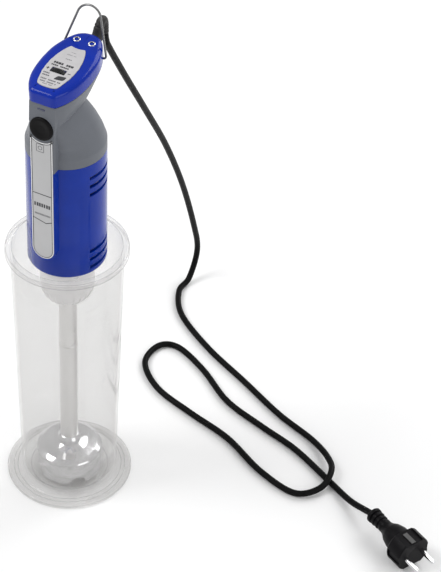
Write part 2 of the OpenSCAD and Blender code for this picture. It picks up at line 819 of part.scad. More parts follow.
module cooling_fan() {
    blades = 9;
    fan_h = 8;
    fan_r = casing_r - casing_wall - 5;
    color([0.15, 0.15, 0.16]) {
        ring_z(9, motor_r, fan_z, fan_z + fan_h);
        ring_z(fan_r, motor_r, fan_z, fan_z + 1.4);
        for (i = [0:blades - 1]) rotate([0, 0, 360 * i / blades])
            box_from([8, -0.7, fan_z], [fan_r - 0.6, 0.7, fan_z + fan_h]);
    }
}

module drive_coupling() {
    color([0.55, 0.4, 0.2]) difference() {
        translate([0, 0, coupling_z]) cylinder(r = 8, h = coupling_h);
        translate([0, 0, drive_top_z]) cylinder(r = motor_r, h = coupling_h);
        translate([0, 0, coupling_z - cut]) cylinder(r = drive_r, h = drive_top_z - coupling_z + cut);
        for (a = [0, 90]) rotate([0, 0, a]) box_from([-9, -0.8, coupling_z + 12], [9, 0.8, coupling_z + 15]);
    }
}

module drive_shaft() {
    color(steel) translate([0, 0, drive_low_z]) cylinder(r = drive_r, h = drive_top_z - drive_low_z);
}

// Cross blade: two long wings that lift and two short ones that drop.
module blade() {
    hub_r = 6;
    color(steel) difference() {
        union() {
            translate([0, 0, blade_z]) cylinder(r = hub_r, h = 5);
            for (a = [0, 180]) rotate([0, 0, a]) hull() {
                box_from([0, -4.4, blade_z + 2], [6, 4.4, blade_z + 2 + blade_t]);
                box_from([blade_r - 2, -0.5, blade_z + 5], [blade_r - 0.2, 3.4, blade_z + 5 + blade_t]);
            }
            for (a = [90, 270]) rotate([0, 0, a]) hull() {
                box_from([0, -4.4, blade_z + 1], [6, 4.4, blade_z + 1 + blade_t]);
                box_from([blade_r - 7, -0.5, blade_z - 3], [blade_r - 5.2, 3.4, blade_z - 3 + blade_t]);
            }
        }
        translate([0, 0, blade_z - 5]) cylinder(r = drive_r, h = 14);
    }
}

module blade_nut() {
    color(steel) difference() {
        translate([0, 0, drive_low_z - 1.5]) cylinder(r = 5, h = blade_z - drive_low_z + 1.5, $fn = 6);
        translate([0, 0, drive_low_z]) cylinder(r = drive_r, h = 10);
    }
}

module nose_cone() {
    neck_r = tube_r + 1.2;
    wall = 2.4;
    color(pale) difference() {
        union() {
            rotate_extrude() polygon([
                [tube_r, nose_z], [neck_r, nose_z], [neck_r + 2, nose_z + 1.2], [16, nose_z + 4],
                [20, nose_z + 8], [nose_r - 2, nose_z + 13.4], [nose_r, nose_z + 20],
                [nose_r, nose_flange_z], [nose_flange_r - 1, nose_flange_z],
                [nose_flange_r, nose_flange_z + 1], [nose_flange_r, casing_z],
                [nose_r - wall, casing_z], [nose_r - wall, nose_z + 21],
                [nose_r - wall - 2, nose_z + 15], [18, nose_z + 10.4], [14, nose_z + 7.4],
                [12, nose_z + 7.4], [12, nose_z + 18], [tube_r, nose_z + 18]
            ]);
            intersection() {
                rotate_extrude() polygon([
                    [14, nose_z + 4], [neck_r + 2.9, nose_z + 0.8], [16.8, nose_z + 3.2],
                    [21, nose_z + 7.4], [nose_r - 1, nose_z + 13], [nose_r - 0.3, nose_z + 18],
                    [nose_r - 2, nose_z + 15.6], [19, nose_z + 9]
                ]);
                for (i = [0:nose_ribs - 1]) rotate([0, 0, 360 * i / nose_ribs])
                    box_from([tube_r, -0.7, nose_z], [nose_r, 0.7, nose_z + 28]);
            }
        }
        for (a = [45:90:315]) rotate([0, 0, a]) translate([nose_screw_r, 0, nose_flange_z - cut])
            cylinder(r = 1.5, h = 8);
    }
}

module nose_screws() {
    color(steel) for (a = [45:90:315]) rotate([0, 0, a]) translate([nose_screw_r, 0, 0]) {
        translate([0, 0, nose_flange_z]) cylinder(r = 1.5, h = 8);
        difference() {
            translate([0, 0, nose_flange_z - 1.4]) cylinder(r = 2.6, h = 1.4);
            translate([0, 0, nose_flange_z - 2.4]) cylinder(r = 1.2, h = 1.8, $fn = 6);
        }
    }
}

module shaft_tube() {
    ring_at = 160;
    color(steel) {
        ring_z(tube_r, tube_in_r, bell_hub_z, tube_top_z);
        ring_z(tube_r + 0.7, tube_in_r, ring_at, ring_at + 1.6);
    }
}

module tube_collar() {
    color(steel) rotate_extrude() polygon([
        [tube_r, bell_top_z], [tube_r + 2.6, bell_top_z], [tube_r + 2.6, bell_top_z + collar_h - 2],
        [tube_r + 0.8, bell_top_z + collar_h], [tube_r, bell_top_z + collar_h]
    ]);
}

module upper_bush() {
    color([0.72, 0.55, 0.25]) ring_z(tube_in_r, drive_r + run_fit, tube_top_z - 16, tube_top_z - 2);
}

module lower_bush() {
    color([0.72, 0.55, 0.25]) ring_z(tube_in_r, drive_r + run_fit, bell_hub_z + 3, bell_hub_z + 17);
}

module shaft_seal() {
    color(black) ring_z(tube_in_r, drive_r + 2 * run_fit, bell_hub_z, bell_hub_z + 3);
}

module bell() {
    notch_r = 8;
    color(steel) difference() {
        rotate_extrude($fn = 96) polygon([
            [skirt_in, shaft_floor_z], [skirt_r, shaft_floor_z], [skirt_r, bell_rim_z - 2.2],
            [bell_r, bell_rim_z - 1.6], [bell_r, bell_rim_z - 0.6],
            [bell_r - 1, bell_rim_z + 0.6], [bell_r - 5, bell_rim_z + 3.4],
            [bell_hub_r + 6, bell_top_z - 3], [bell_hub_r, bell_top_z - 0.6],
            [bell_hub_r - 1, bell_top_z], [tube_r, bell_top_z], [tube_r, bell_hub_z],
            [bell_hub_r, bell_hub_z], [bell_hub_r, bell_top_z - 2.8],
            [bell_hub_r + 5.6, bell_top_z - 4.8], [bell_r - 5.6, bell_rim_z + 1.6],
            [skirt_in, bell_rim_z - 1.4]
        ]);
        for (a = [45, 135]) rotate([0, 0, a]) translate([0, 0, shaft_floor_z])
            barrel_y(notch_r, -bell_r - cut, bell_r + cut);
    }
}

module casing_screws() {
    head_h = 2.2;
    color(steel) for (x = [-screw_x, screw_x]) translate([x, screw_y, seam_z - lug_h - head_h]) {
        cylinder(r = 3.4, h = head_h);
        cylinder(r = screw_r, h = head_h + lug_h + screw_bite);
    }
}

module power_cord() {
    route = smoothed(cord_points, cord_steps);
    color(black) swept(route, [for (p = route) cord_d / 2], cord_sides);
}

// Places its children in the plug's own frame: +X runs from the cord to the pins.
module at_plug() {
    translate(plug_pos) rotate([0, 0, plug_turn]) children();
}

module along_x(x0, x1, r) {
    translate([x0, 0, 0]) rotate([0, 90, 0]) cylinder(r = r, h = x1 - x0);
}

module plug_body() {
    body_x = plug_relief;
    face_x = plug_relief + plug_len;
    flange_x = face_x - flange_len;
    groove_r = plug_r - 3.2;
    recess_w = 9.5;
    color(black) at_plug() difference() {
        rotate([0, 90, 0]) rotate_extrude() polygon([
            [0, 0], [6.8, 0], [7.8, 1], [7.8, 4], [6, 4.6], [6, 6.4], [7.4, 7], [7.4, 9], [5.9, 9.6],
            [5.9, 11.4], [7.1, 12], [7.1, 14], [5.8, 14.6], [5.8, 16.4], [6.8, 17], [6.8, 19],
            [6.6, 20], [7.6, body_x], [10.6, body_x + 5], [12.6, body_x + 12],
            [13, flange_x], [plug_r - 1, flange_x + 1], [plug_r, flange_x + 2.6],
            [plug_r, face_x - 1], [plug_r - 1, face_x], [0, face_x]
        ]);
        for (side = [0, 1]) mirror([0, 0, side])
            box_from([flange_x - cut, -recess_w, contact_z], [face_x + cut, recess_w, plug_r + cut]);
        for (side = [0, 1]) mirror([0, side, 0])
            box_from([flange_x + 3, groove_r + 1.4, -4], [face_x + cut, plug_r + cut, 4]);
        for (side = [-1, 1]) translate([0, side * pin_gap / 2, 0]) along_x(face_x - 14, face_x + cut, pin_r);
    }
}

module plug_pins() {
    face_x = plug_relief + plug_len;
    color(steel) at_plug() for (side = [-1, 1]) translate([0, side * pin_gap / 2, 0]) {
        along_x(face_x - 14, face_x + pin_len - 1, pin_r);
        along_x(face_x + pin_len - 1, face_x + pin_len, pin_r - 0.7);
    }
}

module plug_earth_contacts() {
    face_x = plug_relief + plug_len;
    color(steel) at_plug() for (side = [0, 1]) mirror([0, 0, side])
        box_from([face_x - 15, -2.4, contact_z], [face_x - 1, 2.4, contact_z + 1]);
}

beaker();
beaker_foot();
lower_casing();
upper_casing();
casing_gasket();
head_cap();
cap_gasket();
head_label();
cap_screws();
front_strip();
indicator_lens();
button();
button_seal();
button_spring();
micro_switch();
switch_bracket();
speed_wheel();
wheel_axle();
potentiometer();
control_board();
suppression_capacitor();
triac_heatsink();
terminal_block();
cord_clamp();
clamp_screws();
strain_relief();
hanging_loop();
loop_bushes();
upper_bracket();
upper_bearing();
lower_bracket();
lower_bearing();
stator_core();
field_coils();
brush_holders();
carbon_brushes();
brush_springs();
rotor_core();
rotor_windings();
commutator();
motor_shaft();
cooling_fan();
drive_coupling();
drive_shaft();
blade();
blade_nut();
nose_cone();
nose_screws();
shaft_tube();
tube_collar();
upper_bush();
lower_bush();
shaft_seal();
bell();
casing_screws();
power_cord();
plug_body();
plug_pins();
plug_earth_contacts();
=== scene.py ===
"""Looks of a commercial stick blender that stands in its clear beaker, with its cord and plug.

Every piece is built in the frame's own coordinates, in metres: +Z up, the beaker's base at
the origin, the button on the side that faces -Y.
"""

import json
import logging
import math
from dataclasses import dataclass
from enum import Enum

import bmesh
import bpy
import numpy as np
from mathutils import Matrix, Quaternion, Vector

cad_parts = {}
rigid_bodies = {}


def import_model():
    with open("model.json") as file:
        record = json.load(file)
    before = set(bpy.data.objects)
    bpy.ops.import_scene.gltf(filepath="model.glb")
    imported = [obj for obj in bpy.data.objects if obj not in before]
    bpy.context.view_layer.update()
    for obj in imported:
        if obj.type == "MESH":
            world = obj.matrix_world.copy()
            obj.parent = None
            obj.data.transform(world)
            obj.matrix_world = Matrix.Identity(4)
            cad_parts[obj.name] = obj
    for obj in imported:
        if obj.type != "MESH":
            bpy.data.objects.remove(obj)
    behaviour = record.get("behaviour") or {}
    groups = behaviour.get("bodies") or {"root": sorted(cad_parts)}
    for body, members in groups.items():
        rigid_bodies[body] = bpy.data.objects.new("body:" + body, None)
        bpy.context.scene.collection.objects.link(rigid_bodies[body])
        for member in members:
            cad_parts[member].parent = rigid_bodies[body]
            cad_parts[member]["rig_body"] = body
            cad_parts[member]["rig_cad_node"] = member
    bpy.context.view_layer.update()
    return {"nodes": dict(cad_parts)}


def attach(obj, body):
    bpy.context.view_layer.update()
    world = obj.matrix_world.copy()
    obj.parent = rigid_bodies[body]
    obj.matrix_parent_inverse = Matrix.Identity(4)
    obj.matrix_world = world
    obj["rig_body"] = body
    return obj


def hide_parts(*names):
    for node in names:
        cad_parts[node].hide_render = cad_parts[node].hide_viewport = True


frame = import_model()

log = logging.getLogger("stick_blender")
Array = np.ndarray
Vec = tuple[float, float, float]
MM = 0.001
COAT_ROUGHNESS = 0.06
NOISE_SUM = (0.45, 1.05)  # usual range of half the fine noise plus the broad one
VEIL_POWER = 5.0
SINK = 0.02 * MM  # depth by which printed marks reach into the surface under them


# ---------------------------------------------------------------- finishes


class Grain(Enum):
    """Fine pattern that a finish carries, as the shares of its pitch along X, Y and Z."""

    EVEN = (1.0, 1.0, 1.0)
    TURNED = (0.02, 0.02, 1.0)
    DRAWN = (1.0, 1.0, 0.03)
    ACROSS = (0.04, 1.0, 1.0)


@dataclass(frozen=True)
class Finish:
    """One surface finish: colour, gloss and the fine texture that breaks both up."""

    name: str
    slot: str
    colour: Vec
    roughness: float
    metallic: float = 0.0
    grain: Grain = Grain.EVEN
    pitch: float = 2600.0
    relief: float = 0.15
    depth: float = 0.00005
    uneven: float = 0.05
    shade: float = 0.12
    blotch: float = 40.0
    coat: float = 0.0
    sheen: float = 0.5
    clear: float = 0.0
    veil: float = 1.0
    edge: float = 0.75
    ior: float = 1.5

    def material(self) -> bpy.types.Material:
        """Builds the material once and returns it on every later call.

        Returns:
            The material, with a fine noise in its bump and roughness and a broad one in its colour.
        """
        found = bpy.data.materials.get(self.name)
        if found:
            return found
        mat = bpy.data.materials.new(self.name)
        mat.use_nodes = True
        tree = mat.node_tree
        shader = tree.nodes["Principled BSDF"]
        for socket, value in (("Metallic", self.metallic), ("IOR", self.ior),
                              ("Specular IOR Level", self.sheen), ("Coat Weight", self.coat),
                              ("Coat Roughness", COAT_ROUGHNESS),
                              ("Transmission Weight", self.clear), ("Alpha", self.veil)):
            shader.inputs[socket].default_value = value
        place = tree.nodes.new("ShaderNodeTexCoord")
        fine_map = tree.nodes.new("ShaderNodeMapping")
        fine_map.inputs["Scale"].default_value = [self.pitch * k for k in self.grain.value]
        tree.links.new(place.outputs["Object"], fine_map.inputs["Vector"])
        fine = self._noise(tree, fine_map.outputs["Vector"], 1.0, 4.0)
        broad = self._noise(tree, place.outputs["Object"], self.blotch, 3.0)
        self._ramp(tree, broad, shader.inputs["Base Color"])
        both = tree.nodes.new("ShaderNodeMath")
        both.operation = "MULTIPLY_ADD"
        tree.links.new(fine, both.inputs[0])
        both.inputs[1].default_value = 0.5
        tree.links.new(broad, both.inputs[2])
        rough = tree.nodes.new("ShaderNodeMapRange")
        for socket, value in (("From Min", NOISE_SUM[0]), ("From Max", NOISE_SUM[1]),
                              ("To Min", max(0.0, self.roughness - self.uneven)),
                              ("To Max", self.roughness + self.uneven)):
            rough.inputs[socket].default_value = value
        tree.links.new(both.outputs[0], rough.inputs["Value"])
        tree.links.new(rough.outputs[0], shader.inputs["Roughness"])
        if self.clear:
            self._edge_veil(tree, shader.inputs["Alpha"])
        bump = tree.nodes.new("ShaderNodeBump")
        bump.inputs["Strength"].default_value = self.relief
        bump.inputs["Distance"].default_value = self.depth
        tree.links.new(fine, bump.inputs["Height"])
        tree.links.new(bump.outputs[0], shader.inputs["Normal"])
        return mat

    def _edge_veil(self, tree: bpy.types.NodeTree, into: bpy.types.NodeSocket) -> None:
        """Makes a clear wall denser where it is seen edge on: veil + (edge - veil) times the
        facing value to the power VEIL_POWER."""
        layer = tree.nodes.new("ShaderNodeLayerWeight")
        power = tree.nodes.new("ShaderNodeMath")
        power.operation = "POWER"
        tree.links.new(layer.outputs["Facing"], power.inputs[0])
        power.inputs[1].default_value = VEIL_POWER
        dense = tree.nodes.new("ShaderNodeMapRange")
        dense.inputs["To Min"].default_value = self.veil
        dense.inputs["To Max"].default_value = self.edge
        tree.links.new(power.outputs[0], dense.inputs["Value"])
        tree.links.new(dense.outputs[0], into)

    def _ramp(self, tree: bpy.types.NodeTree, value: bpy.types.NodeSocket,
              into: bpy.types.NodeSocket) -> None:
        """Runs the colour from a darker to a lighter shade of itself along a value."""
        ramp = tree.nodes.new("ShaderNodeValToRGB")
        low, high = ramp.color_ramp.elements
        low.position, high.position = 0.3, 0.7
        low.color = (*[c * (1 - self.shade) for c in self.colour], 1)
        high.color = (*[min(1.0, c * (1 + self.shade)) for c in self.colour], 1)
        tree.links.new(value, ramp.inputs["Fac"])
        tree.links.new(ramp.outputs["Color"], into)

    @staticmethod
    def _noise(tree: bpy.types.NodeTree, vector: bpy.types.NodeSocket, scale: float,
               detail: float) -> bpy.types.NodeSocket:
        """Adds a noise texture and returns its value."""
        noise = tree.nodes.new("ShaderNodeTexNoise")
        noise.inputs["Scale"].default_value = scale
        noise.inputs["Detail"].default_value = detail
        tree.links.new(vector, noise.inputs["Vector"])
        return noise.outputs["Fac"]

    def dress(self, piece: bpy.types.Object) -> bpy.types.Object:
        """Gives a piece this finish."""
        piece.data.materials.clear()
        piece.data.materials.append(self.material())
        return piece


CLEAR = Finish("clear_polycarbonate", "clear_plastic", (0.64, 0.63, 0.62), 0.03, clear=0.3,
               ior=1.45, veil=0.21, pitch=260, relief=0.05, depth=0.00002, uneven=0.006,
               shade=0.01)
# Darker, denser clear finish for thin rings along the beaker's edges: painted shade for the dark
# lines clear plastic shows there.
EDGE_SHADE = Finish("clear_painted_edge_shade", "clear_plastic", (0.54, 0.535, 0.53), 0.08, clear=0.2, ior=1.45,
              veil=0.30, edge=0.55, pitch=260, relief=0.05, depth=0.00002, uneven=0.01)
BLUE = Finish("blue_gloss", "blue_plastic", (0.0005, 0.026, 0.295), 0.15,
              relief=0.10, uneven=0.04, shade=0.08, sheen=0.20)
# Cap blue: the casing's blue made deeper and a little brighter. Partly the cap's own deeper tone,
# partly painted light for its top, which faces the lights.
CAP_LIT_BLUE = Finish("cap_gloss_painted_light", "blue_plastic", (0.0004, 0.021, 0.315), 0.15,
             relief=0.08, uneven=0.04, shade=0.08, sheen=0.20, coat=0.08)
GREY = Finish("grey_spark", "grey_plastic", (0.125, 0.135, 0.155), 0.46, pitch=3200,
              relief=0.35, uneven=0.06, shade=0.06, sheen=0.4)
PALE = Finish("pale_satin", "pale_plastic", (0.80, 0.79, 0.79), 0.42, relief=0.2)
SATIN = Finish("satin_stainless", "steel", (0.62, 0.62, 0.62), 0.30, 1.0, Grain.TURNED,
               pitch=5200, relief=0.22, uneven=0.08, shade=0.05)
BRIGHT = Finish("polished_stainless", "bright_steel", (0.74, 0.74, 0.75), 0.13, 1.0,
                pitch=1800, relief=0.06, uneven=0.06, shade=0.04)
TUBE = Finish("drawn_stainless", "bright_steel", (0.69, 0.68, 0.67), 0.34, 1.0, Grain.DRAWN,
              pitch=5200, relief=0.22, uneven=0.08, shade=0.04)
WIRE = Finish("loop_wire_steel", "steel", (0.22, 0.22, 0.22), 0.30, 1.0, pitch=2400,
              relief=0.12, uneven=0.08, shade=0.10)
BUTTON = Finish("button_rubber", "black_rubber", (0.004, 0.0037, 0.004), 0.50, pitch=3400,
                relief=0.35, uneven=0.08, shade=0.2, sheen=0.12)
FLEX = Finish("flex_rubber", "black_rubber", (0.004, 0.004, 0.0042), 0.46, pitch=2200,
              relief=0.35, uneven=0.1, shade=0.45, blotch=160, sheen=0.08)
BOOT = Finish("boot_rubber", "dark_rubber", (0.026, 0.025, 0.024), 0.55,
              relief=0.4, uneven=0.08, shade=0.2, sheen=0.3)
BLACK = Finish("black_moulded", "black_plastic", (0.006, 0.006, 0.007), 0.38, pitch=3000,
               relief=0.3, uneven=0.08, shade=0.2, sheen=0.3)
PLUG = Finish("plug_rubber", "black_rubber", (0.004, 0.0036, 0.0045), 0.42,
              relief=0.35, uneven=0.08, shade=0.25, sheen=0.10)
DULL = Finish("dull_contact", "steel", (0.09, 0.09, 0.09), 0.45, 1.0, pitch=2400, relief=0.12)
FOIL = Finish("silver_foil", "label", (0.47, 0.47, 0.475), 0.36, 0.25, Grain.ACROSS,
              pitch=4200, relief=0.12, uneven=0.05, shade=0.03)
BORDER = Finish("label_border", "label", (0.83, 0.83, 0.84), 0.40, relief=0.08,
                shade=0.02)
PAPER = Finish("label_face", "label", (0.50, 0.49, 0.50), 0.42, relief=0.1,
               shade=0.05, blotch=120)
INK = Finish("label_ink", "black_plastic", (0.03, 0.03, 0.035), 0.45, relief=0.1)
GREY_INK = Finish("label_grey_ink", "grey_plastic", (0.12, 0.12, 0.13), 0.45,
                  relief=0.1)
LENS = Finish("indicator_blue", "lens", (0.006, 0.01, 0.06), 0.12, pitch=900, relief=0.05,
              coat=0.6)
CAST = Finish("die_cast", "aluminium", (0.55, 0.55, 0.56), 0.48, 1.0, pitch=1800, relief=0.4)
CORE = Finish("laminated_core", "core_steel", (0.16, 0.16, 0.17), 0.5, 0.8, Grain.TURNED,
              pitch=2400, relief=0.6, depth=0.0001)
COPPER = Finish("enamelled_wire", "copper", (0.55, 0.20, 0.07), 0.32, 0.9, Grain.TURNED,
                pitch=1600, relief=0.7, depth=0.0002)
BRONZE = Finish("sintered_bronze", "brass", (0.50, 0.34, 0.13), 0.42, 1.0, pitch=2800, relief=0.4)
CARBON = Finish("pressed_carbon", "carbon", (0.03, 0.03, 0.032), 0.6, pitch=3200, relief=0.5)
BOARD = Finish("board_laminate", "board", (0.02, 0.12, 0.045), 0.4, pitch=1500, relief=0.3)
FILM = Finish("film_box", "yellow_plastic", (0.55, 0.36, 0.04), 0.3, pitch=1500, relief=0.15)
NYLON = Finish("white_nylon", "white_plastic", (0.68, 0.68, 0.62), 0.5, pitch=2200, relief=0.2)
FAN = Finish("fan_nylon", "black_plastic", (0.02, 0.02, 0.022), 0.5, pitch=2200, relief=0.3)


# ---------------------------------------------------------------- mesh work


def round_angles(count: int) -> Array:
    """Evenly spread angles once round a circle, in radians."""
    return np.linspace(0, 2 * math.pi, count, endpoint=False)


def unit(v: Array) -> Array:
    """Each vector divided by its own length."""
    return v / np.maximum(np.linalg.norm(v, axis=-1, keepdims=True), 1e-12)


class Draft:
    """Vertices and faces of one piece while it is being made."""

    def __init__(self) -> None:
        """Starts with no vertices."""
        self.points: list[Array] = []
        self.faces: list[list[int]] = []
        self.count = 0

    def grid(self, p: Array, wrap_rows: bool = False, wrap_cols: bool = False) -> Array:
        """Adds a grid of points and the quads between them.

        Args:
            p: Points, as rows x columns x 3.
            wrap_rows: Joins the last row to the first.
            wrap_cols: Joins the last column to the first.

        Returns:
            The index of every point, rows x columns.
        """
        rows, cols = p.shape[:2]
        index = self.count + np.arange(rows * cols).reshape(rows, cols)
        self.points.append(p.reshape(-1, 3))
        self.count += rows * cols
        a = np.concatenate([index, index[:1]]) if wrap_rows else index
        a = np.concatenate([a, a[:, :1]], axis=1) if wrap_cols else a
        quads = np.stack([a[:-1, :-1], a[:-1, 1:], a[1:, 1:], a[1:, :-1]], -1).reshape(-1, 4)
        self.faces += quads.tolist()
        return index

    def cap(self, ring: Array) -> None:
        """Closes a ring of indices with a fan about its own middle."""
        every = np.concatenate(self.points)
        self.points.append(every[ring].mean(0, keepdims=True))
        tris = np.stack([ring, np.roll(ring, -1), np.full(len(ring), self.count)], -1)
        self.faces += tris.tolist()
        self.count += 1

    def closed(self, rings: Array) -> Array:
        """Adds rings of points, wrapped round, with both ends closed; returns their indices."""
        index = self.grid(rings, wrap_cols=True)
        self.cap(index[0])
        self.cap(index[-1])
        return index

    def hoop(self, rings: Array) -> None:
        """Adds rings of points whose last ring also joins the first, as round a washer."""
        self.grid(rings, wrap_rows=True, wrap_cols=True)

    def piece(self, name: str, body: str, finish: Finish, replaces: tuple[str, ...] = (),
              sharp: float = 38.0) -> bpy.types.Object:
        """Turns the draft into a finished object.

        Args:
            name: The piece's name.
            body: The CAD body that it rides on.
            finish: Its surface finish.
            replaces: CAD nodes that it stands for.
            sharp: Edges that bend by more than this many degrees stay sharp.

        Returns:
            The object, with its doubles merged and its faces pointing outwards.
        """
        mesh = bpy.data.meshes.new(name)
        mesh.from_pydata(np.concatenate(self.points), [], self.faces)
        work = bmesh.new()
        work.from_mesh(mesh)
        bmesh.ops.remove_doubles(work, verts=work.verts, dist=2e-6)
        bmesh.ops.dissolve_degenerate(work, edges=work.edges, dist=1e-7)
        bmesh.ops.recalc_face_normals(work, faces=work.faces)
        work.to_mesh(mesh)
        work.free()
        return settle(mesh, name, body, finish, replaces, sharp)


def settle(mesh: bpy.types.Mesh, name: str, body: str, finish: Finish,
           replaces: tuple[str, ...], sharp: float) -> bpy.types.Object:
    """Shades a mesh, dresses it, sets it on its body and reports it."""
    mesh.shade_smooth()
    mesh.set_sharp_from_angle(angle=math.radians(sharp))
    piece = bpy.data.objects.new(name, mesh)
    bpy.context.scene.collection.objects.link(piece)
    finish.dress(piece)
    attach(piece, body)
    if replaces:
        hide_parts(*replaces)
    log.info("%s: %d faces on %s", name, len(mesh.polygons), body)
    return piece


def soften(piece: bpy.types.Object, width: float, segments: int, degrees: float,
           harden: bool) -> None:
    """Rounds each edge that bends by more than the given degrees, by a bevel modifier."""
    edge = piece.modifiers.new("edges", "BEVEL")
    edge.width = width
    edge.segments = segments
    edge.limit_method = "ANGLE"
    edge.angle_limit = math.radians(degrees)
    edge.harden_normals = harden


def refined(node: str, name: str, finish: Finish, bevel: float, sharp: float = 32.0,
            segments: int = 3) -> bpy.types.Object:
    """Copies a CAD node, merges its loose triangles into clean faces and rounds its edges.

    Args:
        node: The CAD node that the copy stands for.
        name: The new piece's name.
        finish: Its surface finish.
        bevel: Width of the rounded edges, in metres.
        sharp: Edges that bend by more than this many degrees are rounded.
        segments: Number of steps in each rounding.

    Returns:
        The new piece.
    """
    source = frame["nodes"][node]
    mesh = bpy.data.meshes.new(name)
    work = bmesh.new()
    work.from_mesh(source.data)
    bmesh.ops.remove_doubles(work, verts=work.verts, dist=2e-6)
    bmesh.ops.dissolve_limit(work, angle_limit=math.radians(0.6), verts=work.verts,
                             edges=work.edges)
    work.to_mesh(mesh)
    work.free()
    piece = settle(mesh, name, source["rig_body"], finish, (node,), sharp)
    soften(piece, bevel, segments, sharp, harden=True)
    return piece


def rounded(corners: list[Vec], steps: int = 6,
            closed: bool = False) -> Array:
    """Polyline through corners, each rounded by its own radius.

    A corner with radius r starts its arc r tan(half the turn) before the corner and ends it as
    far after, along a circle that touches both sides.

    Args:
        corners: (x, y, radius) of each corner.
        steps: Points on each rounding.
        closed: Whether the last corner joins the first.

    Returns:
        The points, n x 2.
    """
    out = []
    n = len(corners)
    for i, (x, y, r) in enumerate(corners):
        here = np.array([x, y], float)
        if r <= 0 or (not closed and i in (0, n - 1)):
            out.append(here[None])
            continue
        before = unit(np.array(corners[i - 1][:2], float) - here)
        after = unit(np.array(corners[(i + 1) % n][:2], float) - here)
        half = 0.5 * math.acos(float(np.clip(before @ after, -1, 1)))
        reach = r / math.tan(half)
        middle = here + unit(before + after) * (r / math.sin(half))
        a, b = here + before * reach - middle, here + after * reach - middle
        t = np.linspace(0, 1, steps)[:, None]
        arc = unit(a * (1 - t) + b * t) * r
        out.append(middle + arc)
    return np.concatenate(out)


def rounded_box(x0: float, x1: float, y0: float, y1: float, r: float, steps: int) -> Array:
    """Outline of a box with all corners rounded by r, from sizes in mm."""
    corners = [(x0, y0), (x1, y0), (x1, y1), (x0, y1)]
    return rounded([(x * MM, y * MM, r * MM) for x, y in corners], steps, closed=True)


def revolved(profile: Array, sides: int) -> Array:
    """Surface of revolution about Z: each profile point (r, z) goes round a circle of radius r."""
    a = round_angles(sides)
    r, z = profile[:, 0:1], profile[:, 1:2]
    return np.stack([r * np.cos(a), r * np.sin(a), z + 0 * a], -1)


def smooth_curve(points: Array, steps: int) -> Array:
    """Cubic curve through all of the given points: between each two, the cubic whose slopes at
    its ends are half the step from the neighbour before to the neighbour after.

    Args:
        points: n x 3 points.
        steps: Pieces between each two of them.

    Returns:
        (n - 1) * steps + 1 points.
    """
    p = np.concatenate([points[:1], points, points[-1:]])
    t = np.linspace(0, 1, steps, endpoint=False)[None, :, None]
    p0, p1, p2, p3 = (p[i:len(p) - 3 + i, None] for i in range(4))
    curve = 0.5 * (2 * p1 + t * (p2 - p0) + t**2 * (2 * p0 - 5 * p1 + 4 * p2 - p3)
                   + t**3 * (3 * p1 - p0 - 3 * p2 + p3))
    return np.concatenate([curve.reshape(-1, 3), points[-1:]])


def tube(path: Array, radii: Array, sides: int) -> Array:
    """Tube along a path: at each point a ring of its own radius, square to the path.

    The ring's first direction is carried from point to point and flattened onto each new plane,
    so that the tube never twists.

    Args:
        path: n x 3 points.
        radii: n radii, or n x sides radii for a tube that isn't round.
        sides: Points round each ring.

    Returns:
        n x sides x 3 points.
    """
    ahead = unit(np.gradient(path, axis=0))
    start = np.cross(ahead[0], [1.0, 0.0, 0.0])
    first = [unit(start if np.linalg.norm(start) > 0.1 else np.cross(ahead[0], [0, 1.0, 0]))]
    for along in ahead[1:]:
        first.append(unit(first[-1] - (first[-1] @ along) * along))
    side = np.array(first)
    over = np.cross(ahead, side)
    a = round_angles(sides)
    r = np.asarray(radii, float)
    r = r[:, None] if r.ndim == 1 else r
    return (path[:, None] + r[..., None] * (np.cos(a)[None, :, None] * side[:, None]
                                            + np.sin(a)[None, :, None] * over[:, None]))


@dataclass(frozen=True)
class Place:
    """A flat place on the object: an origin, two directions in it and the one out of it."""

    origin: Vec
    across: Vec
    along: Vec
    out: Vec

    def at(self, x: Array, y: Array, h: Array | float = 0.0) -> Array:
        """Points at x across, y along and h out."""
        x, y, h = np.broadcast_arrays(x, y, h)
        return (np.array(self.origin) + x[..., None] * np.array(self.across)
                + y[..., None] * np.array(self.along) + h[..., None] * np.array(self.out))

    def put(self, p: Array) -> Array:
        """Points whose last axis holds x across, y along and h out."""
        return self.at(p[..., 0], p[..., 1], p[..., 2])

    def raised(self, h: float) -> "Place":
        """The same place, h further out."""
        return Place(tuple(self.at(0.0, 0.0, h)), self.across, self.along, self.out)


def tilted(origin: Vec, degrees: float) -> Place:
    """Place with +X across, whose other two directions are +Y and +Z turned about X."""
    c, s = math.cos(math.radians(degrees)), math.sin(math.radians(degrees))
    return Place(origin, (1.0, 0.0, 0.0), (0.0, c, s), (0.0, -s, c))


def add_plate(draft: Draft, place: Place, outline: Array, low: float, high: float,
              edge: float) -> None:
    """Adds a flat plate with softened top edges.

    The rings run from the outline at the foot, up the side, in by the edge's width along a
    quarter circle, and to the middle, which a fan closes.

    Args:
        draft: Where the plate goes.
        place: The plane that it lies on.
        outline: n x 2 points round it.
        low: Height of its foot.
        high: Height of its top.
        edge: Radius of its top edge.
    """
    turn = np.linspace(0, math.pi / 2, 4)
    insets = [0.0, *(edge * (1 - np.cos(turn)))]
    heights = [low, *(high - edge + edge * np.sin(turn))]
    rings = [place.at(*inset_loop(outline, d).T, h) for d, h in zip(insets, heights)]
    draft.closed(np.array(rings))


def inset_loop(outline: Array, by: float | Array) -> Array:
    """Moves each point of a closed outline inwards, square to the outline there."""
    ahead = unit(np.roll(outline, -1, axis=0) - np.roll(outline, 1, axis=0))
    area = np.sum(outline[:, 0] * np.roll(outline[:, 1], -1)
                  - np.roll(outline[:, 0], -1) * outline[:, 1])
    inward = np.stack([-ahead[:, 1], ahead[:, 0]], -1) * (1 if area > 0 else -1)
    return outline + inward * by


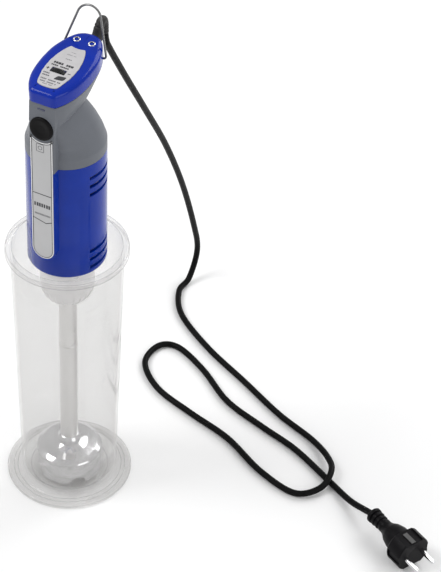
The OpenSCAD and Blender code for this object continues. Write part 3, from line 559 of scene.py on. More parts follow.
def add_bar(draft: Draft, place: Place, ends: tuple[float, float, float, float], width: float,
            h: float) -> None:
    """Adds a thin printed bar with square ends that stands h high. Its ends, as (x, y, x, y),
    and its width are in mm."""
    pa, pb = np.array(ends[:2], float) * MM, np.array(ends[2:], float) * MM
    side = unit(pb - pa)[::-1] * np.array([-1, 1]) * (width * MM) / 2
    outline = np.array([pa + side, pa - side, pb - side, pb + side])
    draft.closed(np.array([place.at(*outline.T, k) for k in (0.0, h)]))


def add_band(draft: Draft, place: Place, outline: Array, outer: float, inner: float,
             h: float) -> None:
    """Adds a printed band that follows an outline between two insets."""
    out, into = inset_loop(outline, outer), inset_loop(outline, inner)
    draft.hoop(np.array([place.at(*out.T, 0.0), place.at(*out.T, h), place.at(*into.T, h),
                         place.at(*into.T, 0.0)]))


def travelled(points: Array) -> Array:
    """Length along a polyline up to each of its points."""
    return np.concatenate([[0], np.cumsum(np.linalg.norm(np.diff(points, axis=0), axis=1))])


def mirrored_loop(half: Array) -> Array:
    """Closed outline from its right half, which runs from the front to the back."""
    left = half[::-1] * np.array([-1.0, 1.0])
    keep = np.abs(left[:, 0]) > 1e-9
    return np.concatenate([half, left[keep]])


# ---------------------------------------------------------------- camera and light


@dataclass(frozen=True)
class Studio:
    """Camera, pale floor and soft light."""

    azimuth: float = 30.0
    elevation: float = 45.316
    distance: float = 2.4148
    aim: Vec = (0.1213, 0.0700, 0.2294)
    roll: float = -2.484
    lens: float = 155.0
    floor_size: float = 14.0
    floor_drop: float = 0.0004
    surround: float = 0.54
    light_aim: Vec = (0.0, 0.0, 0.3)

    def build(self) -> None:
        """Makes the camera, the floor and the lights."""
        self._camera()
        self._floor()
        self._light("key", (-1.5, -0.9, 2.4), size=1.2, power=36.0)
        self._light("fill", (2.2, -0.6, 1.3), size=1.4, power=14.0)
        self._light("back", (0.6, 2.2, 1.9), size=1.8, power=34.0)
        self._world()

    def _camera(self) -> None:
        """Places the camera by azimuth, elevation and distance from the base, aims and rolls it."""
        a, e = math.radians(self.azimuth), math.radians(self.elevation)
        where = Vector((math.sin(a) * math.cos(e), -math.cos(a) * math.cos(e), math.sin(e)))
        where *= self.distance
        ahead = (Vector(self.aim) - where).normalized()
        data = bpy.data.cameras.new("camera")
        data.lens = self.lens
        data.sensor_width = 36.0
        data.clip_end = 50.0
        camera = bpy.data.objects.new("camera", data)
        bpy.context.scene.collection.objects.link(camera)
        camera.location = where
        turn = Quaternion(ahead, math.radians(self.roll)) @ ahead.to_track_quat("-Z", "Y")
        camera.rotation_euler = turn.to_euler()
        bpy.context.scene.camera = camera

    def _floor(self) -> None:
        """Makes the pale floor, just under the beaker's base."""
        half = self.floor_size / 2
        mesh = bpy.data.meshes.new("floor")
        corners = [(x, y, -self.floor_drop) for x, y in
                   ((-half, -half), (half, -half), (half, half), (-half, half))]
        mesh.from_pydata(corners, [], [(0, 1, 2, 3)])
        floor = bpy.data.objects.new("floor", mesh)
        bpy.context.scene.collection.objects.link(floor)
        finish = Finish("studio_floor", "white_plastic", (0.93, 0.93, 0.93), 0.8, pitch=60,
                        relief=0.0, shade=0.01, blotch=2.0)
        floor.data.materials.append(finish.material())

    def _light(self, name: str, where: Vec, size: float,
               power: float) -> None:
        """Adds a soft square light that looks at the middle of the object."""
        data = bpy.data.lights.new(name, "AREA")
        data.energy = power
        data.size = size
        light = bpy.data.objects.new(name, data)
        bpy.context.scene.collection.objects.link(light)
        light.location = where
        ahead = Vector(self.light_aim) - Vector(where)
        light.rotation_euler = ahead.to_track_quat("-Z", "Y").to_euler()

    def _world(self) -> None:
        """Sets an even white surround."""
        world = bpy.data.worlds.new("surround")
        world.use_nodes = True
        back = world.node_tree.nodes["Background"]
        back.inputs["Color"].default_value = (1.0, 1.0, 1.0, 1)
        back.inputs["Strength"].default_value = self.surround
        bpy.context.scene.world = world
        bpy.context.scene.view_settings.view_transform = "Standard"


# ---------------------------------------------------------------- cord and plug


@dataclass
class CordSet:
    """Strain relief, power cord and mains plug."""

    diameter: float = 6.2 * MM
    rings_per_span: int = 9
    sides: int = 20

    # Centreline from the boot to the plug.
    route = np.array([
        (0, 69.4, 471.6), (-0.3, 71.8, 462), (-1, 79, 448.6), (-4, 116, 392),
        (-8, 162, 324), (-13, 216, 243),
        (-17, 262, 161), (-20, 297, 82), (-21.5, 311, 36), (-23, 297, 6.4), (-24, 276, 3.1),
        (-4, 244, 3.1), (43, 212, 3.1), (98, 185, 3.1), (150, 159, 3.1),
        (194, 142, 3.8), (220, 124, 7), (232, 106, 9.6), (231, 83, 6.4), (210, 68, 3.1),
        (168, 79, 3.1), (120, 104, 3.1), (72, 118, 3.1), (26, 134, 3.1),
        (-3, 161, 3.1), (-3, 190, 3.1), (16, 198, 3.1), (54, 180, 3.1),
        (96, 151, 3.1), (143, 135, 3.1), (186, 122, 3.1), (231, 100, 3.1),
        (262, 82.5, 6), (284, 70.5, 14), (294, 65.1, 18.5),
    ]) * MM

    def build(self) -> None:
        path = smooth_curve(self.route, self.rings_per_span)
        draft = Draft()
        draft.closed(tube(path, np.full(len(path), self.diameter / 2), self.sides))
        flex = draft.piece("cord_flex", "mixer", FLEX, ("power_cord",), sharp=60)
        plug = refined("plug_body", "plug_shell", PLUG, 0.5 * MM, sharp=28)
        pins = refined("plug_pins", "plug_contact_pins", BRIGHT, 0.25 * MM)
        clips = refined("plug_earth_contacts", "plug_earth_clips", DULL, 0.2 * MM)
        self._boot()

    def _boot(self) -> None:
        """Rubber boot: a tube that bends over, with shallow grooves round its bend and its end.

        Each groove takes its depth times exp(-(distance / width)^2) off the radius.
        """
        # Along Y, height and radius at each point of the boot's centreline.
        way = np.array([
            (40.2, 473.8, 6), (43, 473.4, 5.9), (46.6, 473, 5.7), (50, 472.8, 5.5),
            (53.2, 473.6, 5.3), (55.8, 475.6, 5.1), (57.6, 478.6, 5), (58.8, 481.8, 4.8),
            (60.2, 484.8, 4.4), (62.2, 487, 4.1), (64.6, 487.6, 3.9), (66.8, 486.2, 3.8),
            (68.2, 483.4, 3.7), (68.9, 479.6, 3.6), (69.2, 475.6, 3.5), (69.4, 471.6, 3.5),
        ]) * MM
        route = np.column_stack([np.zeros(len(way)), way[:, :2]])
        radii = way[:, 2]
        path = smooth_curve(route, 10)
        t = np.linspace(0, 1, len(path))
        r = np.interp(t, np.linspace(0, 1, len(radii)), radii)
        for middle, depth, width in ((0.50, 0.55, 0.010), (0.56, 0.45, 0.010), (0.84, 0.3, 0.008),
                                     (0.89, 0.3, 0.008), (0.94, 0.3, 0.008)):
            r = r - depth * MM * np.exp(-((t - middle) / width) ** 2)
        r[-3:] *= np.array([0.99, 0.95, 0.86])  # rounds the end off
        draft = Draft()
        draft.closed(tube(path, r, 48))
        draft.piece("strain_relief_boot", "mixer", BOOT, ("strain_relief",), sharp=60)


# ---------------------------------------------------------------- beaker


@dataclass
class Beaker:
    """Clear tapered beaker with a wide foot and a turned-down rim."""

    foot_r: float = 59.9 * MM
    low_r: float = 45.5 * MM
    top_r: float = 52.0 * MM
    rim_r: float = 56.4 * MM
    height: float = 281.0 * MM
    wall: float = 2.2 * MM
    lip: float = 6.0 * MM
    well_r: float = 37.0 * MM
    # Radius of the thin darker rings that paint shade along the beaker's edges.
    shade_line_r: float = 0.3 * MM
    sides: int = 192

    # Corners of the foot's low ridges: distance in from its edge and height, in mm.
    ridges = ((1.4, 2.6), (1.8, 1.9), (5.0, 1.9), (5.6, 3.2), (6.8, 3.2), (7.4, 2.3), (9.0, 2.5))

    def build(self) -> None:
        """Revolves the rounded section: foot with low ridges, wall, rim, floor with a well."""
        m, h, foot = MM, self.height, self.foot_r
        in_top, in_low = self.top_r - self.wall, self.low_r - self.wall
        section = rounded([
            (0, 0, 0), (foot, 0, 0.5 * m), (foot, 2.6 * m, 0.5 * m),
            *[(foot - back * m, z * m, 0.2 * m) for back, z in self.ridges],
            (foot - 9.6 * m, 4.0 * m, 0.3 * m), (self.low_r + 2.6 * m, 5.4 * m, 1 * m),
            (self.low_r, 9 * m, 3 * m), (self.top_r, h - 5.4 * m, 1.2 * m),
            (self.rim_r - 1.5 * m, h - 3.2 * m, 0.6 * m),
            (self.rim_r - 1.5 * m, h - self.lip, 0.3 * m),
            (self.rim_r, h - self.lip, 0.5 * m), (self.rim_r, h - 0.2 * m, 1.5 * m),
            (in_top + 0.4 * m, h, 1.0 * m), (in_top, h - 2 * m, 1.2 * m),
            (in_low, 10 * m, 3 * m), (in_low - 5.2 * m, 4.2 * m, 1.2 * m),
            (self.well_r + 0.6 * m, 3.9 * m, 0.4 * m), (self.well_r, 3.0 * m, 0.3 * m),
            (0, 3.0 * m, 0),
        ], steps=7)
        draft = Draft()
        draft.grid(revolved(section, self.sides), wrap_cols=True)
        draft.piece("beaker_clear_shell", "beaker", CLEAR, ("beaker", "beaker_foot"),
                    sharp=50)
        self._edges()

    def _edges(self) -> None:
        """Thin darker, denser rings along the rim's and the foot's edges: painted shade for the
        dark lines that clear plastic shows at its edges; circles of a small radius swept round the
        axis."""
        m = MM
        top, foot = self.height, self.foot_r
        shade_lines = ((self.rim_r, top - self.lip + 0.4 * m), (self.rim_r - 0.5 * m, top - 0.6 * m),
                 (self.top_r - self.wall + 0.6 * m, top - 0.1 * m), (foot - 0.3 * m, 2.4 * m),
                 (foot - 6.2 * m, 3.2 * m), (foot - 9.8 * m, 4.0 * m),
                 (self.well_r + 0.2 * m, 3.8 * m))
        around = round_angles(12)
        draft = Draft()
        for r, z in shade_lines:
            ring = np.stack([r + self.shade_line_r * np.cos(around),
                             z + self.shade_line_r * np.sin(around)], -1)
            draft.hoop(revolved(ring, self.sides))
        draft.piece("beaker_painted_edge_shade", "beaker", EDGE_SHADE, sharp=60)


# ---------------------------------------------------------------- casings


@dataclass
class UpperShell:
    """Grey upper casing: round at the seam, drawn in to the neck and flared out to the cap."""

    head_z: float = 481.5 * MM
    head_tilt: float = 4.6
    cap_h: float = 14.1 * MM
    ridge_y: float = 42.0 * MM
    lean_z: float = 428.0 * MM
    face_lean: float = 4.0
    front_points: int = 12
    corner_points: int = 7
    side_points: int = 12
    back_points: int = 70
    corner_r: float = 1.3 * MM
    ring_gap: float = 1.5
    flare: float = 0.8
    corner_share: float = 0.53

    # From the seam to the neck, in mm: height, then half width, front length, front power, middle
    # along Y, back length and back power of the rounded body there, then the ridge's half width.
    levels = np.array([
        (395.1, 36.0, 36.0, 2.00, 0.0, 36.0, 2.00, 11.7),
        (404.5, 35.9, 36.0, 2.00, 0.0, 36.0, 2.00, 11.9),
        (413.6, 32.4, 35.2, 2.10, 0.0, 33.6, 2.00, 12.1),
        (424.0, 27.7, 35.5, 2.45, -1.0, 29.8, 2.05, 12.3),
        (431.0, 23.8, 36.0, 2.90, -2.0, 26.8, 2.10, 12.45),
        (443.0, 15.6, 38.0, 4.20, -4.0, 21.5, 2.20, 12.6),
    ])

    def face_y(self, z: Array) -> Array:
        """Place of the front face: upright, then leaning back above lean_z."""
        lean = math.tan(math.radians(self.face_lean))
        return -self.ridge_y + np.maximum(0, np.asarray(z) - self.lean_z) * lean

    def _half(self, z: float) -> Array:
        """Right half of the section at a height: front flat, rounded corner, ridge side, body."""
        row = [np.interp(z / MM, self.levels[:, 0], self.levels[:, k]) for k in range(1, 8)]
        a, front, fp, mid, back, bp, w = [v if k in (2, 5) else v * MM for k, v in enumerate(row)]
        yf = float(self.face_y(z))
        flat = np.stack([np.linspace(0, w - self.corner_r, self.front_points),
                         np.full(self.front_points, yf)], -1)
        turn = np.linspace(0, math.pi / 2, self.corner_points + 1)[1:]
        corner = np.stack([w - self.corner_r + self.corner_r * np.sin(turn),
                           yf + self.corner_r - self.corner_r * np.cos(turn)], -1)
        start = math.asin(min(1.0, (w / a) ** (fp / 2)))
        t = np.linspace(start, math.pi, self.back_points)
        power = np.where(t < math.pi / 2, fp, bp)
        x = a * np.abs(np.sin(t)) ** (2 / power)
        length = np.where(t < math.pi / 2, front, back)
        y = mid - np.sign(np.cos(t)) * length * np.abs(np.cos(t)) ** (2 / power)
        join = max(float(y[0]), yf + self.corner_r + 0.2 * MM)
        side = np.stack([np.full(self.side_points, w),
                         np.linspace(yf + self.corner_r, join, self.side_points + 1)[1:]], -1)
        y = np.maximum(y, join)
        return np.concatenate([flat, corner, side, np.stack([x, y], -1)[1:]])

    def build(self, outline: Array) -> None:
        """Lofts the outside up to the cap, then turns in over the wall.

        Above the neck each ring lies between the neck and the head: its height by the share s of
        the way, its width by s to the power flare, and its front on the front face.

        Args:
            outline: Right half of the head's outline, from the front to the back.
        """
        seam, bend, neck_z = self.levels[[0, 1, -1], 0]
        low = np.concatenate([np.linspace(seam, bend - self.ring_gap, 5),
                              np.linspace(bend, neck_z - self.ring_gap, 26), [neck_z]])
        rings = [np.column_stack([(h := self._half(z * MM)), np.full(len(h), z * MM)])
                 for z in low]
        neck = rings[-1]
        keep = self.front_points + self.corner_points
        head = self._matched(outline, neck, keep)
        top = tilted((0.0, 0.0, self.head_z), self.head_tilt).at(*head.T, -self.cap_h)
        for s in np.linspace(0, 1, 22)[1:]:
            spread = s ** self.flare
            ring = neck * (1 - spread) + top * spread
            ring[:, 2] = neck[:, 2] * (1 - s) + top[:, 2] * s
            ring[:keep, 1] = self.face_y(ring[:keep, 2])
            ring[:keep, 0] = neck[:keep, 0] * (1 - s) + top[:keep, 0] * s
            rings.append(ring)
        loops = np.array([self._whole(r) for r in rings])
        inner_top = loops[-1] + (loops[-1].mean(0) - loops[-1]) * np.array([0.09, 0.06, 0])
        inner_low = loops[0] * np.array([0.93, 0.93, 1])
        draft = Draft()
        draft.closed(np.concatenate([inner_low[None], loops, inner_top[None]]))
        shell = draft.piece("upper_casing_shell", "mixer", GREY, ("upper_casing",), sharp=26)
        soften(shell, 0.35 * MM, 2, 40.0, harden=False)

    @staticmethod
    def _whole(half: Array) -> Array:
        """Closed ring from a right half that starts and ends on the middle plane."""
        left = half[1:-1][::-1] * np.array([-1.0, 1.0, 1.0])
        return np.concatenate([half, left])

    def _matched(self, outline: Array, ring: Array, keep: int) -> Array:
        """Points of the outline that lie as far along it as the ring's points lie along the ring.

        The first points, on the front flat and its corner, go to the outline's own flat and
        corner, and the others are spread by length over the rest.
        """
        gone, along = travelled(outline), travelled(ring[:, :2])
        wide = outline[:, 0] > outline[:, 0].max() * self.corner_share
        at_corner = gone[int(np.argmax(wide))]
        first = along[:keep] / along[keep - 1] * at_corner
        rest = (along[keep:] - along[keep - 1]) / (along[-1] - along[keep - 1])
        where = np.concatenate([first, at_corner + rest * (gone[-1] - at_corner)])
        return np.stack([np.interp(where, gone, outline[:, k]) for k in (0, 1)], -1)


@dataclass
class Head:
    """Blue cap, its label, the speed wheel, the screws and the hanging loop."""

    head_z: float = 481.5 * MM
    tilt: float = 4.6
    cap_h: float = 14.0 * MM
    edge_in: float = 5.4 * MM
    edge_down: float = 4.0 * MM
    label_t: float = 0.6 * MM
    window: tuple[float, float, float, float] = (-7.55 * MM, 6.75 * MM, -14.4 * MM, -8.0 * MM)
    wheel_r: float = 12.0 * MM
    wheel_w: float = 5.6 * MM
    grooves: int = 36
    edge_r: float = 0.45 * MM
    recess: float = 0.35 * MM
    under: float = 2.6 * MM
    loop_y: float = 33.0 * MM
    loop_z: float = 473.2 * MM
    loop_lean: float = 15.0
    screw_x: float = 7.3 * MM
    screw_y: float = 33.0 * MM

    # Half width and place along Y of the head's outline, from the front corner to the back.
    half_outline = np.array([
        (8.6, -41.6), (11.0, -41.2), (12.8, -40.0), (14.2, -38.2), (16, -35.2), (18, -31.6),
        (20.1, -26.6), (21.8, -21), (23.0, -14.6), (23.7, -8), (24, -1), (23.9, 5),
        (23, 16), (20.4, 26), (16.4, 36), (12, 42.4), (6.5, 46), (0, 47.3),
    ]) * MM
    # The label's right half, from the front to the back: (x, y, radius) of each corner, in mm.
    label_half = [
        (0, -33.4, 0), (6.5, -32.9, 3), (9.4, -31.5, 1.5), (12.2, -22, 40), (14.1, -9, 40),
        (12.9, 7, 40), (9.4, 18, 20), (6.9, 22.7, 1), (3.2, 21.8, 6), (0, 21.5, 0),
    ]

    @property
    def place(self) -> Place:
        """The head's top plane."""
        return tilted((0.0, 0.0, self.head_z), self.tilt)

    @property
    def middle(self) -> Array:
        """Middle of the wheel's window, in the head's top plane."""
        x0, x1, y0, y1 = self.window
        return np.array([(x0 + x1) / 2, (y0 + y1) / 2])

    def outline(self) -> Array:
        """Right half of the head's outline: a flat front, a tight corner and one smooth curve."""
        p = self.half_outline
        curve = smooth_curve(np.column_stack([p[1:], np.zeros(len(p) - 1)]), 8)[:, :2]
        flat = np.stack([np.linspace(0, p[0, 0], 12), np.full(12, p[0, 1])], -1)
        return np.concatenate([flat, curve])

    def build(self) -> None:
        """Makes every piece of the head."""
        self._cap()
        self._label()
        self._print()
        self._wheel()
        self._loop()
        self._screws()

    def _cap(self) -> None:
        """Lofts the cap: rings go up the side, over the soft edge, across the top to the label's
        recess, and down into the wheel's window. Each ring has one point for each point of the
        outline, at the same angle about the window's middle."""
        outer = mirrored_loop(self.outline())
        label = inset_loop(self._label_outline(), -0.25 * MM)
        angle = np.unwrap(np.arctan2(*(outer - self.middle).T[::-1]))
        recess = self._at_angles(label, angle)
        box = self._window_at(angle)
        rings = [(inset_loop(outer, self.edge_r), -self.cap_h), (outer, self.edge_r - self.cap_h)]
        rings += [(outer, z) for z in np.linspace(-self.cap_h + 1 * MM, -self.edge_down, 6)]
        for t in np.linspace(0, math.pi / 2, 12)[1:]:
            rings.append((inset_loop(outer, self.edge_in * (1 - math.cos(t))),
                          -self.edge_down * (1 - math.sin(t))))
        top = rings[-1][0]
        for s in np.linspace(0, 1, 5)[1:]:
            rings.append((top * (1 - s) + recess * s, 0.0))
        for s in np.linspace(0, 1, 4):
            rings.append((recess * (1 - s) + box * s, -self.recess))
        rings += [(box, -self.under), (inset_loop(outer, 3 * MM), -self.under),
                  (inset_loop(outer, self.under), -self.cap_h)]
        draft = Draft()
        draft.hoop(np.array([self.place.at(*loop.T, h) for loop, h in rings]))
        # The cap's finish is a brighter blue than the casing's: painted light for its lit top.
        draft.piece("head_cap_shell", "mixer", CAP_LIT_BLUE, ("head_cap",), sharp=62)

    def _label_outline(self) -> Array:
        """Closed outline of the label, from its rounded right half."""
        half = rounded([(x * MM, y * MM, r * MM) for x, y, r in self.label_half], steps=5)
        return mirrored_loop(half)

    def _window_at(self, angle: Array) -> Array:
        """Points where rays from the window's middle at the given angles leave the window."""
        x0, x1, y0, y1 = self.window
        half = np.array([(x1 - x0) / 2, (y1 - y0) / 2])
        ray = np.stack([np.cos(angle), np.sin(angle)], -1)
        reach = np.min(half / np.maximum(np.abs(ray), 1e-9), axis=1, keepdims=True)
        return self.middle + ray * reach

    def _at_angles(self, loop: Array, angle: Array) -> Array:
        """Points where rays from the window's middle at the given angles leave a loop round it."""
        middle = self.middle
        polar = np.arctan2(*(loop - middle).T[::-1])
        dist = np.linalg.norm(loop - middle, axis=1)
        order = np.argsort(polar)
        turned = (angle + math.pi) % (2 * math.pi) - math.pi
        r = np.interp(turned, polar[order], dist[order], period=2 * math.pi)
        return middle + np.stack([np.cos(angle), np.sin(angle)], -1) * r[:, None]

    def _label(self) -> None:
        """Label plate with the window cut through it: two rings of the same angles, top and
        foot."""
        angle = np.linspace(-math.pi, math.pi, 240, endpoint=False)
        out, box = self._at_angles(self._label_outline(), angle), self._window_at(angle)
        low, high, soft = -0.3 * MM, self.label_t, 0.15 * MM
        rings = [(out, low), (out, high - soft), (inset_loop(out, soft), high)]
        rings += [(out * (1 - s) + box * s, high) for s in np.linspace(0.1, 1, 6)]
        rings += [(box, low)]
        draft = Draft()
        draft.hoop(np.array([self.place.at(*loop.T, h) for loop, h in rings]))
        draft.piece("head_label_plate", "mixer", PAPER, ("head_label",), sharp=30)

    def _print(self) -> None:
        """Plain printed marks: a plus and a minus beside the wheel, and rows of short bars."""
        up = self.place.raised(self.label_t - SINK)
        dark, soft = Draft(), Draft()
        h, m = 0.08 * MM, MM
        for ends in ((-12.0, -11.2, -9.0, -11.2), (-10.5, -12.7, -10.5, -9.7),
                     (8.6, -11.2, 11.4, -11.2)):
            add_bar(dark, up, ends, 0.8, h)
        # Each row, in mm: place along Y, from x to x, height, usual bar, gap, and its ink.
        rows = ((-2.0, -9.6, 9.8, 2.5, 2.2, 0.4, dark), (-5.5, -10.2, 9.4, 1.6, 1.5, 0.35, dark),
                (-17.2, -11.4, -3.6, 1.5, 1.4, 0.3, soft),
                (-20.2, -10.8, -3.2, 1.5, 1.6, 0.3, soft),
                (-24.8, -9.8, 9.0, 1.4, 1.3, 0.3, soft), (-27.9, -8.6, 7.2, 1.3, 1.1, 0.3, soft),
                (-30.4, -5.0, 5.0, 0.7, 0.9, 0.35, soft), (5.6, -2.6, 5.4, 0.8, 1.2, 0.5, soft),
                (11.4, -4.2, 5.2, 0.6, 1.0, 0.4, soft), (15.0, -2.2, 4.2, 0.5, 0.9, 0.4, soft))
        for y, x, end, tall, bar, gap, ink in rows:
            k = 0
            while x + bar <= end:
                wide = bar * (0.7 + 0.5 * ((k * 7) % 5) / 5)
                if k % 6 != 4:
                    add_bar(ink, up, (x, y, x + wide, y), tall, h)
                x += wide + gap
                k += 1
        badge = rounded([(0.8 * m, -22.4 * m, 0.8 * m), (9.6 * m, -21.2 * m, 2.2 * m),
                         (10.6 * m, -15.8 * m, 0.8 * m), (2.8 * m, -17.0 * m, 2.2 * m)],
                        steps=6, closed=True)
        add_plate(dark, up, badge, 0.0, h, 0.03 * m)
        dark.piece("head_label_marks", "mixer", INK, sharp=30)
        soft.piece("head_label_fine_marks", "mixer", GREY_INK, sharp=30)

    def _wheel(self) -> None:
        """Knurled thumbwheel: its radius dips in every groove, and its edges are rounded. The
        grid's rows follow the rim from side to side and its columns go round."""
        x, y = self.middle
        z = self.label_t + 1.2 * MM - self.wheel_r
        a = round_angles(self.grooves * 10)
        half = self.wheel_w / 2
        rim = np.array([(-half, 3.0), (-half, 10.6), (-half + 0.4 * MM, 11.0),
                        (-half + 0.9 * MM, 11.6), (-half + 1.2 * MM, 12.0),
                        (half - 1.2 * MM, 12.0), (half - 0.9 * MM, 11.6),
                        (half - 0.4 * MM, 11.0), (half, 10.6), (half, 3.0)])
        dip = 0.42 * MM * np.clip(1.6 * np.cos(a * self.grooves) - 0.5, 0, 1) ** 0.7
        depth = np.where(rim[:, 1:2] >= 11.0, dip, 0.0)
        r = rim[:, 1:2] * MM - depth
        draft = Draft()
        draft.hoop(self.place.at(x + r * np.cos(a), y + rim[:, 0:1] + 0 * a, z + r * np.sin(a)))
        draft.piece("speed_wheel_rim", "wheel", BLACK, ("speed_wheel",), sharp=35)

    def _loop(self) -> None:
        """Bent wire: feet that turn in, legs that draw together and a round top.

        The legs run along the two lines through the feet's corners that touch the top's circle.
        """
        # In mm: half the width between the feet, height, and radii of top, feet's bends and wire.
        foot, height, top, bend, wire = 21.6, 43.3, 11.7, 2.2, 1.0
        hub = height - top
        draw = math.atan2(foot, hub) - math.asin(top / math.hypot(foot, hub))
        back = bend * math.tan((math.pi / 2 + draw) / 2)
        t = np.linspace(draw, math.pi - draw, 49)
        arc = np.stack([top * np.cos(t), hub + top * np.sin(t)], -1)
        q = np.linspace(-math.pi / 2, draw, 10)
        corner = np.stack([foot - back + bend * np.cos(q), bend + bend * np.sin(q)], -1)
        leg = np.linspace(corner[-1], arc[0], 5)[1:-1]
        right = np.concatenate([[(12.1, 0.0), (15.0, 0.0)], corner, leg])
        flat = np.concatenate([right, arc, right[::-1] * np.array([-1, 1])]) * MM
        lean = math.radians(self.loop_lean)
        path = np.stack([flat[:, 0], self.loop_y + flat[:, 1] * math.sin(lean),
                         self.loop_z + flat[:, 1] * math.cos(lean)], -1)
        draft = Draft()
        draft.closed(tube(path, np.full(len(path), wire * MM), 20))
        draft.piece("hanging_loop_wire", "loop", WIRE, ("hanging_loop",), sharp=60)

    def _screws(self) -> None:
        """Two raised round heads, each a revolved washer round a black cup of painted shade."""
        m = MM
        heads, socket_shade = Draft(), Draft()
        profile = rounded([(2.2 * m, -0.9 * m, 0), (2.2 * m, 0.55 * m, 0.15 * m),
                           (2.75 * m, 0.75 * m, 0.4 * m), (3.3 * m, 0.35 * m, 0.4 * m),
                           (3.35 * m, -0.9 * m, 0)], steps=5)
        ring = revolved(profile, 64)
        # Black cup inside each head: painted shade for the deep socket, which is in shade.
        well = revolved(np.array([(0, -0.75), (1.9, -0.75), (2.05, 0.42), (2.18, 0.42),
                                  (2.18, -0.95), (0, -0.95)]) * m, 48)
        for x in (-self.screw_x, self.screw_x):
            shift = np.array([x, self.screw_y, 0.0])
            heads.hoop(self.place.put(ring + shift))
            socket_shade.grid(self.place.put(well + shift), wrap_cols=True)
        heads.piece("cap_screw_heads", "mixer", BRIGHT, ("cap_screws",), sharp=50)
        # The black cups are painted shade for the screws' sockets.
        socket_shade.piece("cap_screw_painted_shade", "mixer", BLACK, sharp=30)


@dataclass
class FrontFace:
    """Label strip, push button and indicator on the front."""

    half_w: float = 10.8 * MM
    low_z: float = 296.8 * MM
    face_y: float = -42.0 * MM
    strip_t: float = 0.5 * MM
    button_z: float = 440.0 * MM
    button_r: float = 11.2 * MM
    lens_z: float = 459.0 * MM
    lean: float = 4.0
    lean_z: float = 428.0 * MM

    def face(self, z: float) -> Place:
        """Place on the leaning face at a height, with its out direction away from the casing."""
        y = self.face_y + max(0.0, z - self.lean_z) * math.tan(math.radians(self.lean))
        c, s = math.cos(math.radians(self.lean)), math.sin(math.radians(self.lean))
        return Place((0.0, y, z), (1.0, 0.0, 0.0), (0.0, s, c), (0.0, -c, s))

    def build(self) -> None:
        """Makes every piece on the front."""
        self._strip()
        self._button()
        self._indicator()

    def outline(self) -> Array:
        """Strip's outline in x and z: a half circle below, straight sides, and a top that is
        hollowed by a circle round the button."""
        r = self.half_w
        t = np.linspace(math.pi, 2 * math.pi, 41)
        low = np.stack([r * np.cos(t), self.low_z + r + r * np.sin(t)], -1)
        hollow = self.button_r + 3 * MM
        end = math.asin(self.half_w / hollow)
        u = np.linspace(end, -end, 31)
        top = np.stack([hollow * np.sin(u), self.button_z - hollow * np.cos(u)], -1)
        steps = 24
        edge = np.linspace(low[-1, 1], top[0, 1], steps)[1:-1]
        right = np.stack([np.full(steps - 2, r), edge], -1)
        return np.concatenate([low, right, top, right[::-1] * np.array([-1, 1])])

    def _strip(self) -> None:
        """Foil strip with a white border, a thin dark outline, two ruled lines and plain bars."""
        place = Place((0.0, self.face_y, 0.0), (1.0, 0.0, 0.0), (0.0, 0.0, 1.0), (0.0, -1.0, 0.0))
        outline = self.outline()
        draft = Draft()
        top, soft_edge = self.strip_t, 0.12 * MM
        insets = ((0.0, 0.0), (0.0, top - soft_edge), (soft_edge, top))
        rings = [place.at(*inset_loop(outline, d).T, h) for d, h in insets]
        index = draft.grid(np.array(rings), wrap_cols=True)
        draft.faces += [index[0].tolist(), index[-1].tolist()]
        draft.piece("front_strip_foil", "mixer", FOIL, ("front_strip",), sharp=30)
        ink_place = place.raised(top - SINK)
        white, ink, soft = Draft(), Draft(), Draft()
        h = 0.09 * MM
        add_band(white, ink_place, outline, 0.15 * MM, 0.9 * MM, h)
        add_band(ink, ink_place, outline, 0.9 * MM, 1.65 * MM, h)
        m = MM
        for ends in ((-9.2, 369, 9.2, 369), (-9.2, 341, 3.6, 337.8), (3.4, 337.8, 9.2, 340.6)):
            add_bar(ink, ink_place, ends, 0.8, h)
        for k in range(7):
            x = -8.0 + 2.35 * k
            wide = 1.5 + 0.3 * ((k * 3) % 4) / 3
            add_bar(ink, ink_place, (x, 356.8, x + wide, 356.8), 4.0, h)
        for k in range(13):
            x = -7.6 + 1.22 * k
            add_bar(soft, ink_place, (x, 346.4, x + 0.75, 346.4), 1.9, h)
        box = rounded_box(-5.0, 2.6, 415.4, 424.0, 0.8, steps=4)
        add_band(soft, ink_place, box, 0.0, 0.5 * m, h)
        t = round_angles(24)
        ring = np.stack([-1.2 * m + 2.1 * m * np.cos(t), 419.7 * m + 2.1 * m * np.sin(t)], -1)
        add_band(soft, ink_place, ring, 0.0, 0.5 * m, h)
        white.piece("front_strip_border", "mixer", BORDER, sharp=30)
        ink.piece("front_strip_lines", "mixer", INK, sharp=30)
        soft.piece("front_strip_fine_marks", "mixer", GREY_INK, sharp=30)

    def _button(self) -> None:
        """Rubber button and its stem, revolved about the button's own axis, and the bezel."""
        m = MM
        r = self.button_r
        profile = rounded([(0, 1.5 * m, 0), (4 * m, 1.6 * m, 6 * m), (r - 2.4 * m, 2.45 * m, 3 * m),
                           (r, 2.0 * m, 1.4 * m), (r, -3.4 * m, 0.3 * m), (0, -3.4 * m, 0)],
                          steps=8)
        place = self.face(self.button_z)
        draft = Draft()
        draft.grid(place.put(revolved(profile, 96)), wrap_cols=True)
        stem = revolved(np.array([(0, -3.3), (3, -3.3), (3, -7.4), (0, -7.4)]) * MM, 32)
        draft.grid(place.put(stem), wrap_cols=True)
        draft.piece("button_pad", "button", BUTTON, ("button",), sharp=40)
        bezel = rounded([(r + 0.25 * m, -2 * m, 0), (r + 0.25 * m, 0.25 * m, 0.1 * m),
                         (r + 0.9 * m, 0.3 * m, 0.2 * m), (r + 1.3 * m, -0.2 * m, 0),
                         (r + 1.3 * m, -2 * m, 0)], steps=4)
        draft = Draft()
        draft.hoop(place.put(revolved(bezel, 96)))
        draft.piece("button_bezel", "mixer", GREY, sharp=40)

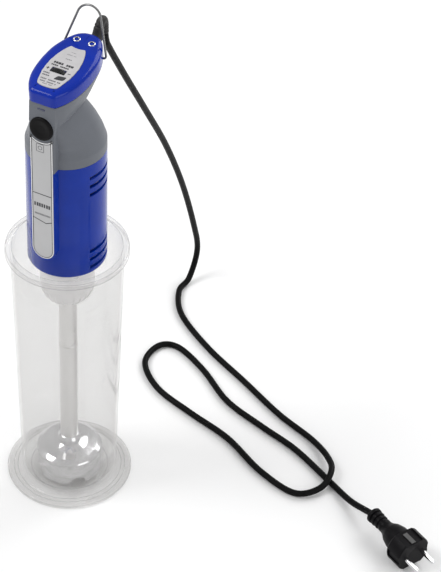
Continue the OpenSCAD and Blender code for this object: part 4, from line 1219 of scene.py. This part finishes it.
    def _indicator(self) -> None:
        """Small slot-shaped lens with rounded ends, a little proud of the face."""
        place = self.face(self.lens_z)
        outline = rounded_box(-4.85, 2.85, -0.9, 0.9, 0.85, steps=6)
        draft = Draft()
        add_plate(draft, place, outline, -0.6 * MM, 0.3 * MM, 0.25 * MM)
        draft.piece("indicator_window", "mixer", LENS, ("indicator_lens",), sharp=40)


# ---------------------------------------------------------------- shaft and bell


@dataclass
class ShaftEnd:
    """Shaft tube, collar, bell and nose cone."""

    tube_r: float = 8.3 * MM
    tube_z: tuple[float, float] = (28.0 * MM, 236.0 * MM)
    collar_z: float = 36.5 * MM
    sides: int = 96

    def build(self) -> None:
        """Makes the tube and the collar and refines the rest."""
        m = MM
        r, inner = self.tube_r, self.tube_r - 1.5 * m
        low, top = self.tube_z
        profile = rounded([
            (r, low, 0.2 * m), (r, 159.4 * m, 0.5 * m), (r + 0.6 * m, 160 * m, 0.4 * m),
            (r + 0.6 * m, 161.6 * m, 0.4 * m), (r, 162.2 * m, 0.5 * m), (r, top, 0.3 * m),
            (inner, top, 0), (inner, low, 0)], steps=5)
        draft = Draft()
        draft.hoop(revolved(profile, self.sides))
        draft.piece("shaft_sleeve", "mixer", TUBE, ("shaft_tube",), sharp=40)
        z = self.collar_z
        collar = rounded([
            (r + 0.02 * m, z, 0), (r + 2.6 * m, z + 0.02 * m, 0.4 * m),
            (r + 2.6 * m, z + 5.4 * m, 0.8 * m),
            (r + 0.7 * m, z + 7.6 * m, 1 * m), (r + 0.02 * m, z + 8 * m, 0)], steps=6)
        draft = Draft()
        draft.hoop(revolved(collar, self.sides))
        draft.piece("bell_collar", "mixer", BRIGHT, ("tube_collar",), sharp=40)
        refined("bell", "bell_shell", BRIGHT, 0.3 * m, sharp=14)
        refined("nose_cone", "nose_cone_shell", PALE, 0.2 * m, segments=2)
        refined("lower_casing", "lower_casing_shell", BLUE, 0.5 * m, sharp=30)
        for node, name, edge in (("blade", "blade_cross", 0.25),
                                 ("blade_nut", "blade_nut_hex", 0.3),
                                 ("nose_screws", "nose_screw_heads", 0.15)):
            refined(node, name, SATIN, edge * m)


# CAD nodes that show as they are, by their finish.
PLAIN_NODES: tuple[tuple[Finish, str], ...] = (
    (BUTTON, "casing_gasket cap_gasket button_seal shaft_seal"),
    (SATIN, "button_spring switch_bracket clamp_screws upper_bearing lower_bearing brush_springs "
            "motor_shaft drive_shaft casing_screws"),
    (BLACK, "micro_switch cord_clamp loop_bushes"),
    (NYLON, "wheel_axle terminal_block"),
    (BLUE, "potentiometer"),
    (BOARD, "control_board"),
    (FILM, "suppression_capacitor"),
    (CAST, "triac_heatsink upper_bracket lower_bracket"),
    (CORE, "stator_core rotor_core"),
    (COPPER, "field_coils rotor_windings commutator"),
    (BRONZE, "brush_holders drive_coupling upper_bush lower_bush"),
    (CARBON, "carbon_brushes"),
    (FAN, "cooling_fan"),
)


def dress_inside() -> None:
    """Gives each CAD node that shows as it is its own finish."""
    for finish, nodes in PLAIN_NODES:
        for node in nodes.split():
            finish.dress(frame["nodes"][node])
            log.info("%s: CAD node in %s", node, finish.name)


def main() -> None:
    """Builds the scene: camera and cord first, then the object from the foot up."""
    logging.basicConfig(level=logging.INFO, format="%(name)s: %(message)s")
    Studio().build()
    CordSet().build()
    Beaker().build()
    ShaftEnd().build()
    head = Head()
    UpperShell().build(head.outline())
    head.build()
    FrontFace().build()
    dress_inside()


if __name__ == "__main__":
    main()
